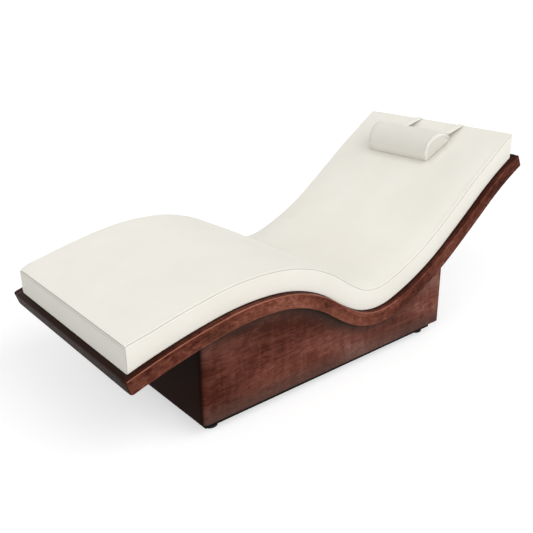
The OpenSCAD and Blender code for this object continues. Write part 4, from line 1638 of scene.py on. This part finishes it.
@dataclass
class Feet:
    """Levelling pads turned in plastic, under the plinth."""

    plastic: Material
    places: Triple = (-0.572, 0.394, 0.300)
    radius: float = 0.025
    high: float = 0.014

    def build(self) -> None:
        """Turns the four pads."""
        r, h = self.radius, self.high
        profile = [(0.0, 0.0), (r - 0.004, 0.0), (r - 0.0012, 0.0004), (r, 0.0016), (r, 0.0055),
                   (r - 0.0008, 0.0068), (r - 0.003, 0.0078), (0.018, 0.0094), (0.0155, 0.0105),
                   (0.0140, h - 0.0012), (0.0131, h - 0.0003), (0.0120, h), (0.0062, h), (0.0062, h - 0.001)]
        turn = np.linspace(0, 2 * np.pi, 49)
        for name, (end, side) in ENDS.items():
            x = self.places[0] if end < 0 else self.places[1]
            y = side * self.places[2]
            block = np.array([[(x + q * math.cos(a), y + q * math.sin(a), z) for a in turn]
                              for q, z in profile])
            skin = Skin()
            skin.grid(block)
            body = node = f"pad_{name}"
            stand_in(skin.piece(f"{node}_turned", self.plastic), body, "black_plastic", node)


@dataclass
class Studio:
    """Plain pale floor, soft lamps and the camera of the picture."""

    camera_at: Triple = (-1.6027, -1.8380, 1.2617)
    yaw: float = 39.338
    pitch: float = 20.893
    roll: float = -0.540
    lens: float = 47.97
    sensor: float = 36.0
    clip: tuple[float, float] = (0.05, 60.0)
    shift: tuple[float, float] = (0.0006, -0.0252)
    lamps: tuple[tuple[str, float, float, float, float], ...] = (
        ("near_side", 294.0, 25.0, 0.905, 84.0), ("foot_side", 205.0, 28.0, 0.55, 60.0),
        ("far_side", 85.0, 18.0, 0.28, 60.0))
    lamp_away: float = 4.0
    floor_side: float = 40.0
    floor_grey: tuple[float, float] = (0.20, 0.60)
    floor_glow: float = 0.51
    world_light: float = 0.22

    def camera(self) -> None:
        """Sets the camera."""
        data = bpy.data.cameras.new("camera")
        data.lens, data.sensor_width, data.sensor_fit = self.lens, self.sensor, "HORIZONTAL"
        data.shift_x, data.shift_y = self.shift
        data.clip_start, data.clip_end = self.clip
        made = bpy.data.objects.new("camera", data)
        bpy.context.scene.collection.objects.link(made)
        y, p, r = (math.radians(v) for v in (self.yaw, self.pitch, self.roll))
        forward = Vector((math.sin(y) * math.cos(p), math.cos(y) * math.cos(p), -math.sin(p)))
        right = Vector((math.cos(y), -math.sin(y), 0.0))
        up = right.cross(forward)
        right, up = math.cos(r) * right + math.sin(r) * up, math.cos(r) * up - math.sin(r) * right
        turn = Matrix((right, up, -forward)).transposed().to_4x4()
        made.matrix_world = Matrix.Translation(Vector(self.camera_at)) @ turn
        bpy.context.scene.camera = made

    def floor(self) -> None:
        """Lays the floor, which takes the shadow and is white to the camera, in gloss and through glass."""
        bpy.ops.mesh.primitive_plane_add(size=self.floor_side)
        made = bpy.context.object
        made.name = "floor"
        g = Graph("floor_white")
        g.set(Roughness=0.9, Specular_IOR_Level=0.1)
        g.shader.inputs["Emission Color"].default_value = (1.0, 1.0, 1.0, 1.0)
        path = g.node("ShaderNodeLightPath")
        rays = ("Is Camera Ray", "Is Glossy Ray", "Is Transmission Ray")
        seen = g.sum(*((path.outputs[ray], 1.0) for ray in rays))
        g.feed(Base_Color=g.ramp(seen, (0.0, self.floor_grey[0]), (1.0, self.floor_grey[1])),
               Emission_Strength=g.sum((seen, self.floor_glow)))
        made.data.materials.append(g.material)

    def world(self) -> None:
        """Fills the world with soft light, seen as plain white."""
        world = bpy.data.worlds.new("studio")
        bpy.context.scene.world = world
        world.use_nodes = True
        nodes = Nodes(world.node_tree)
        path = nodes.node("ShaderNodeLightPath").outputs
        both = nodes.math("ADD", path["Is Glossy Ray"], path["Is Transmission Ray"])
        seen = nodes.math("ADD", path["Is Camera Ray"], both)
        seen.node.use_clamp = True
        strength = nodes.math("MULTIPLY_ADD", seen, 1.0 - self.world_light, self.world_light)
        back = world.node_tree.nodes["Background"]
        back.inputs["Color"].default_value = (1.0, 1.0, 1.0, 1.0)
        nodes.link(strength, back.inputs["Strength"])

    def lamp(self, name: str, around: float, up: float, level: float, spread: float) -> None:
        """Adds a soft lamp as wide as a studio screen, at the same strength all over the floor.

        Args:
            name: The lamp's name.
            around: Where it stands, in degrees from +X towards +Y.
            up: How high it stands, in degrees over the floor.
            level: Light on a surface square to it, 1 for plain white.
            spread: Its apparent width in degrees.
        """
        data = bpy.data.lights.new(name, "SUN")
        data.energy, data.angle = level * math.pi, math.radians(spread)
        made = bpy.data.objects.new(name, data)
        bpy.context.scene.collection.objects.link(made)
        a, e = math.radians(around), math.radians(up)
        toward = Vector((math.cos(e) * math.cos(a), math.cos(e) * math.sin(a), math.sin(e)))
        made.location = toward * self.lamp_away
        made.rotation_euler = toward.to_track_quat("Z", "Y").to_euler()

    def build(self) -> None:
        """Builds the studio."""
        self.camera()
        self.floor()
        self.world()
        for name, around, up, level, spread in self.lamps:
            self.lamp(name, around, up, level, spread)
        scene = bpy.context.scene
        scene.view_settings.view_transform = "Standard"
        LOG.info("studio: camera, floor, world and lamps")


def dress_joinery(finishes: dict[str, Finish]) -> None:
    """Gives every frame node that stays its finish.

    Args:
        finishes: Finishes by the slot names of the record.
    """
    groups = {
        "deck": ("deck",),
        "plywood": ("bearer_right", "bearer_left", "bulkhead_foot", "bulkhead_head", "bottom_board"),
        "beech": ("rail_dowels", "end_rail_dowels", "panel_dowels", "cleat_right", "cleat_left"),
        "black_wood": ("plinth_runner_right", "plinth_runner_left", "plinth_cross_foot", "plinth_cross_head"),
        "zinc": ("deck_screws", "bottom_screws", "plinth_screws", "tee_nuts",
                 "stud_foot_right", "stud_foot_left", "stud_head_right", "stud_head_left"),
        "black_steel": ("jam_nuts", "washers"),
    }
    for slot, nodes in groups.items():
        material = finishes[slot].material()
        for node in nodes:
            dress(node, material)


def main() -> None:
    """Builds every sub-assembly, dresses what stays of the frame, and sets up the studio."""
    logging.basicConfig(level=logging.INFO, format="%(name)s: %(message)s")
    vinyl = Vinyl("ivory_vinyl", (0.845, 0.822, 0.752), (0.805, 0.780, 0.705)).material()
    black_cloth = Weave("black_cloth", (0.02, 0.02, 0.02), (0.008, 0.008, 0.008)).material()
    thread = Weave("thread", (0.55, 0.53, 0.47), (0.40, 0.38, 0.34), 0.0006).material()
    # Rail veneer: its depth and shade colours are painted shade beside the cushion and in nooks.
    strip = Veneer("veneer_bent", light=(0.300, 0.108, 0.074), middle=(0.140, 0.0405, 0.0265),
                   dark=(0.036, 0.0090, 0.0055), depth=(0.020, 0.0050, 0.0032), shade=(0.014, 0.0050, 0.0036),
                   nook=0.007, weights=(0.34, 0.36, 0.08, 0.22), patch=(4.0, 14.0))
    # A darker copy of the rail veneer for the end rails, painted shade.
    ends = Veneer("veneer_end_shaded", light=(0.044, 0.021, 0.014), middle=(0.020, 0.0095, 0.0062),
                  dark=(0.008, 0.0036, 0.0024), arris=(0.065, 0.034, 0.023), end_face_shade=0.50, nook=0.025,
                  weights=(0.28, 0.22, 0.08, 0.42), patch=(4.0, 14.0))
    # Base veneer: greyer painted shade under the rail, and a painted reflection lightening it towards the
    # head.
    box = Veneer("veneer_base", light=(0.315, 0.1640, 0.1340), middle=(0.156, 0.0500, 0.0345),
                 dark=(0.056, 0.0140, 0.0085), shade=(0.062, 0.047, 0.040), sheen_drift=0.11,
                 grain=Grain.ROUND_BASE)
    finishes = {
        "deck": Ply("stained_ply", (0.045, 0.016, 0.011), (0.020, 0.007, 0.005), 0.6, 0.02),
        "plywood": Ply("birch_ply", (0.62, 0.44, 0.25), (0.44, 0.28, 0.14)),
        "beech": Ply("beech", (0.55, 0.35, 0.20), (0.40, 0.24, 0.13)),
        "black_wood": Ply("black_wood", (0.007, 0.006, 0.006), (0.003, 0.003, 0.003), 0.62, 0.04),
        "zinc": Metal("zinc_steel", (0.60, 0.61, 0.63), (0.44, 0.45, 0.47)),
        "black_steel": Metal("black_steel", (0.03, 0.03, 0.032), (0.016, 0.016, 0.017), 0.0, 0.4),
    }
    plastic = Moulded("black_plastic", (0.022, 0.022, 0.023), (0.012, 0.012, 0.013))
    Studio().build()
    cushion = Cushion(vinyl, black_cloth, thread)
    cushion.cover()
    cushion.tapes()
    # The pillow's painted shade reaches further, is bluish and covers its lower front.
    pillow = Vinyl("pillow_vinyl", (0.765, 0.742, 0.676), (0.715, 0.700, 0.640), nook=0.095,
                   nook_shade=(0.26, 0.30, 0.34), lean=(0.0, 0.04))
    NeckPillow(pillow.material()).cover()
    Straps(vinyl).build()
    Tray(strip.material(), ends.material()).build()
    base = Base(box.material())
    base.posts()
    base.panels()
    Feet(plastic.material()).build()
    dress_joinery(finishes)
    LOG.info("all pieces are built")


if __name__ == "__main__":
    main()
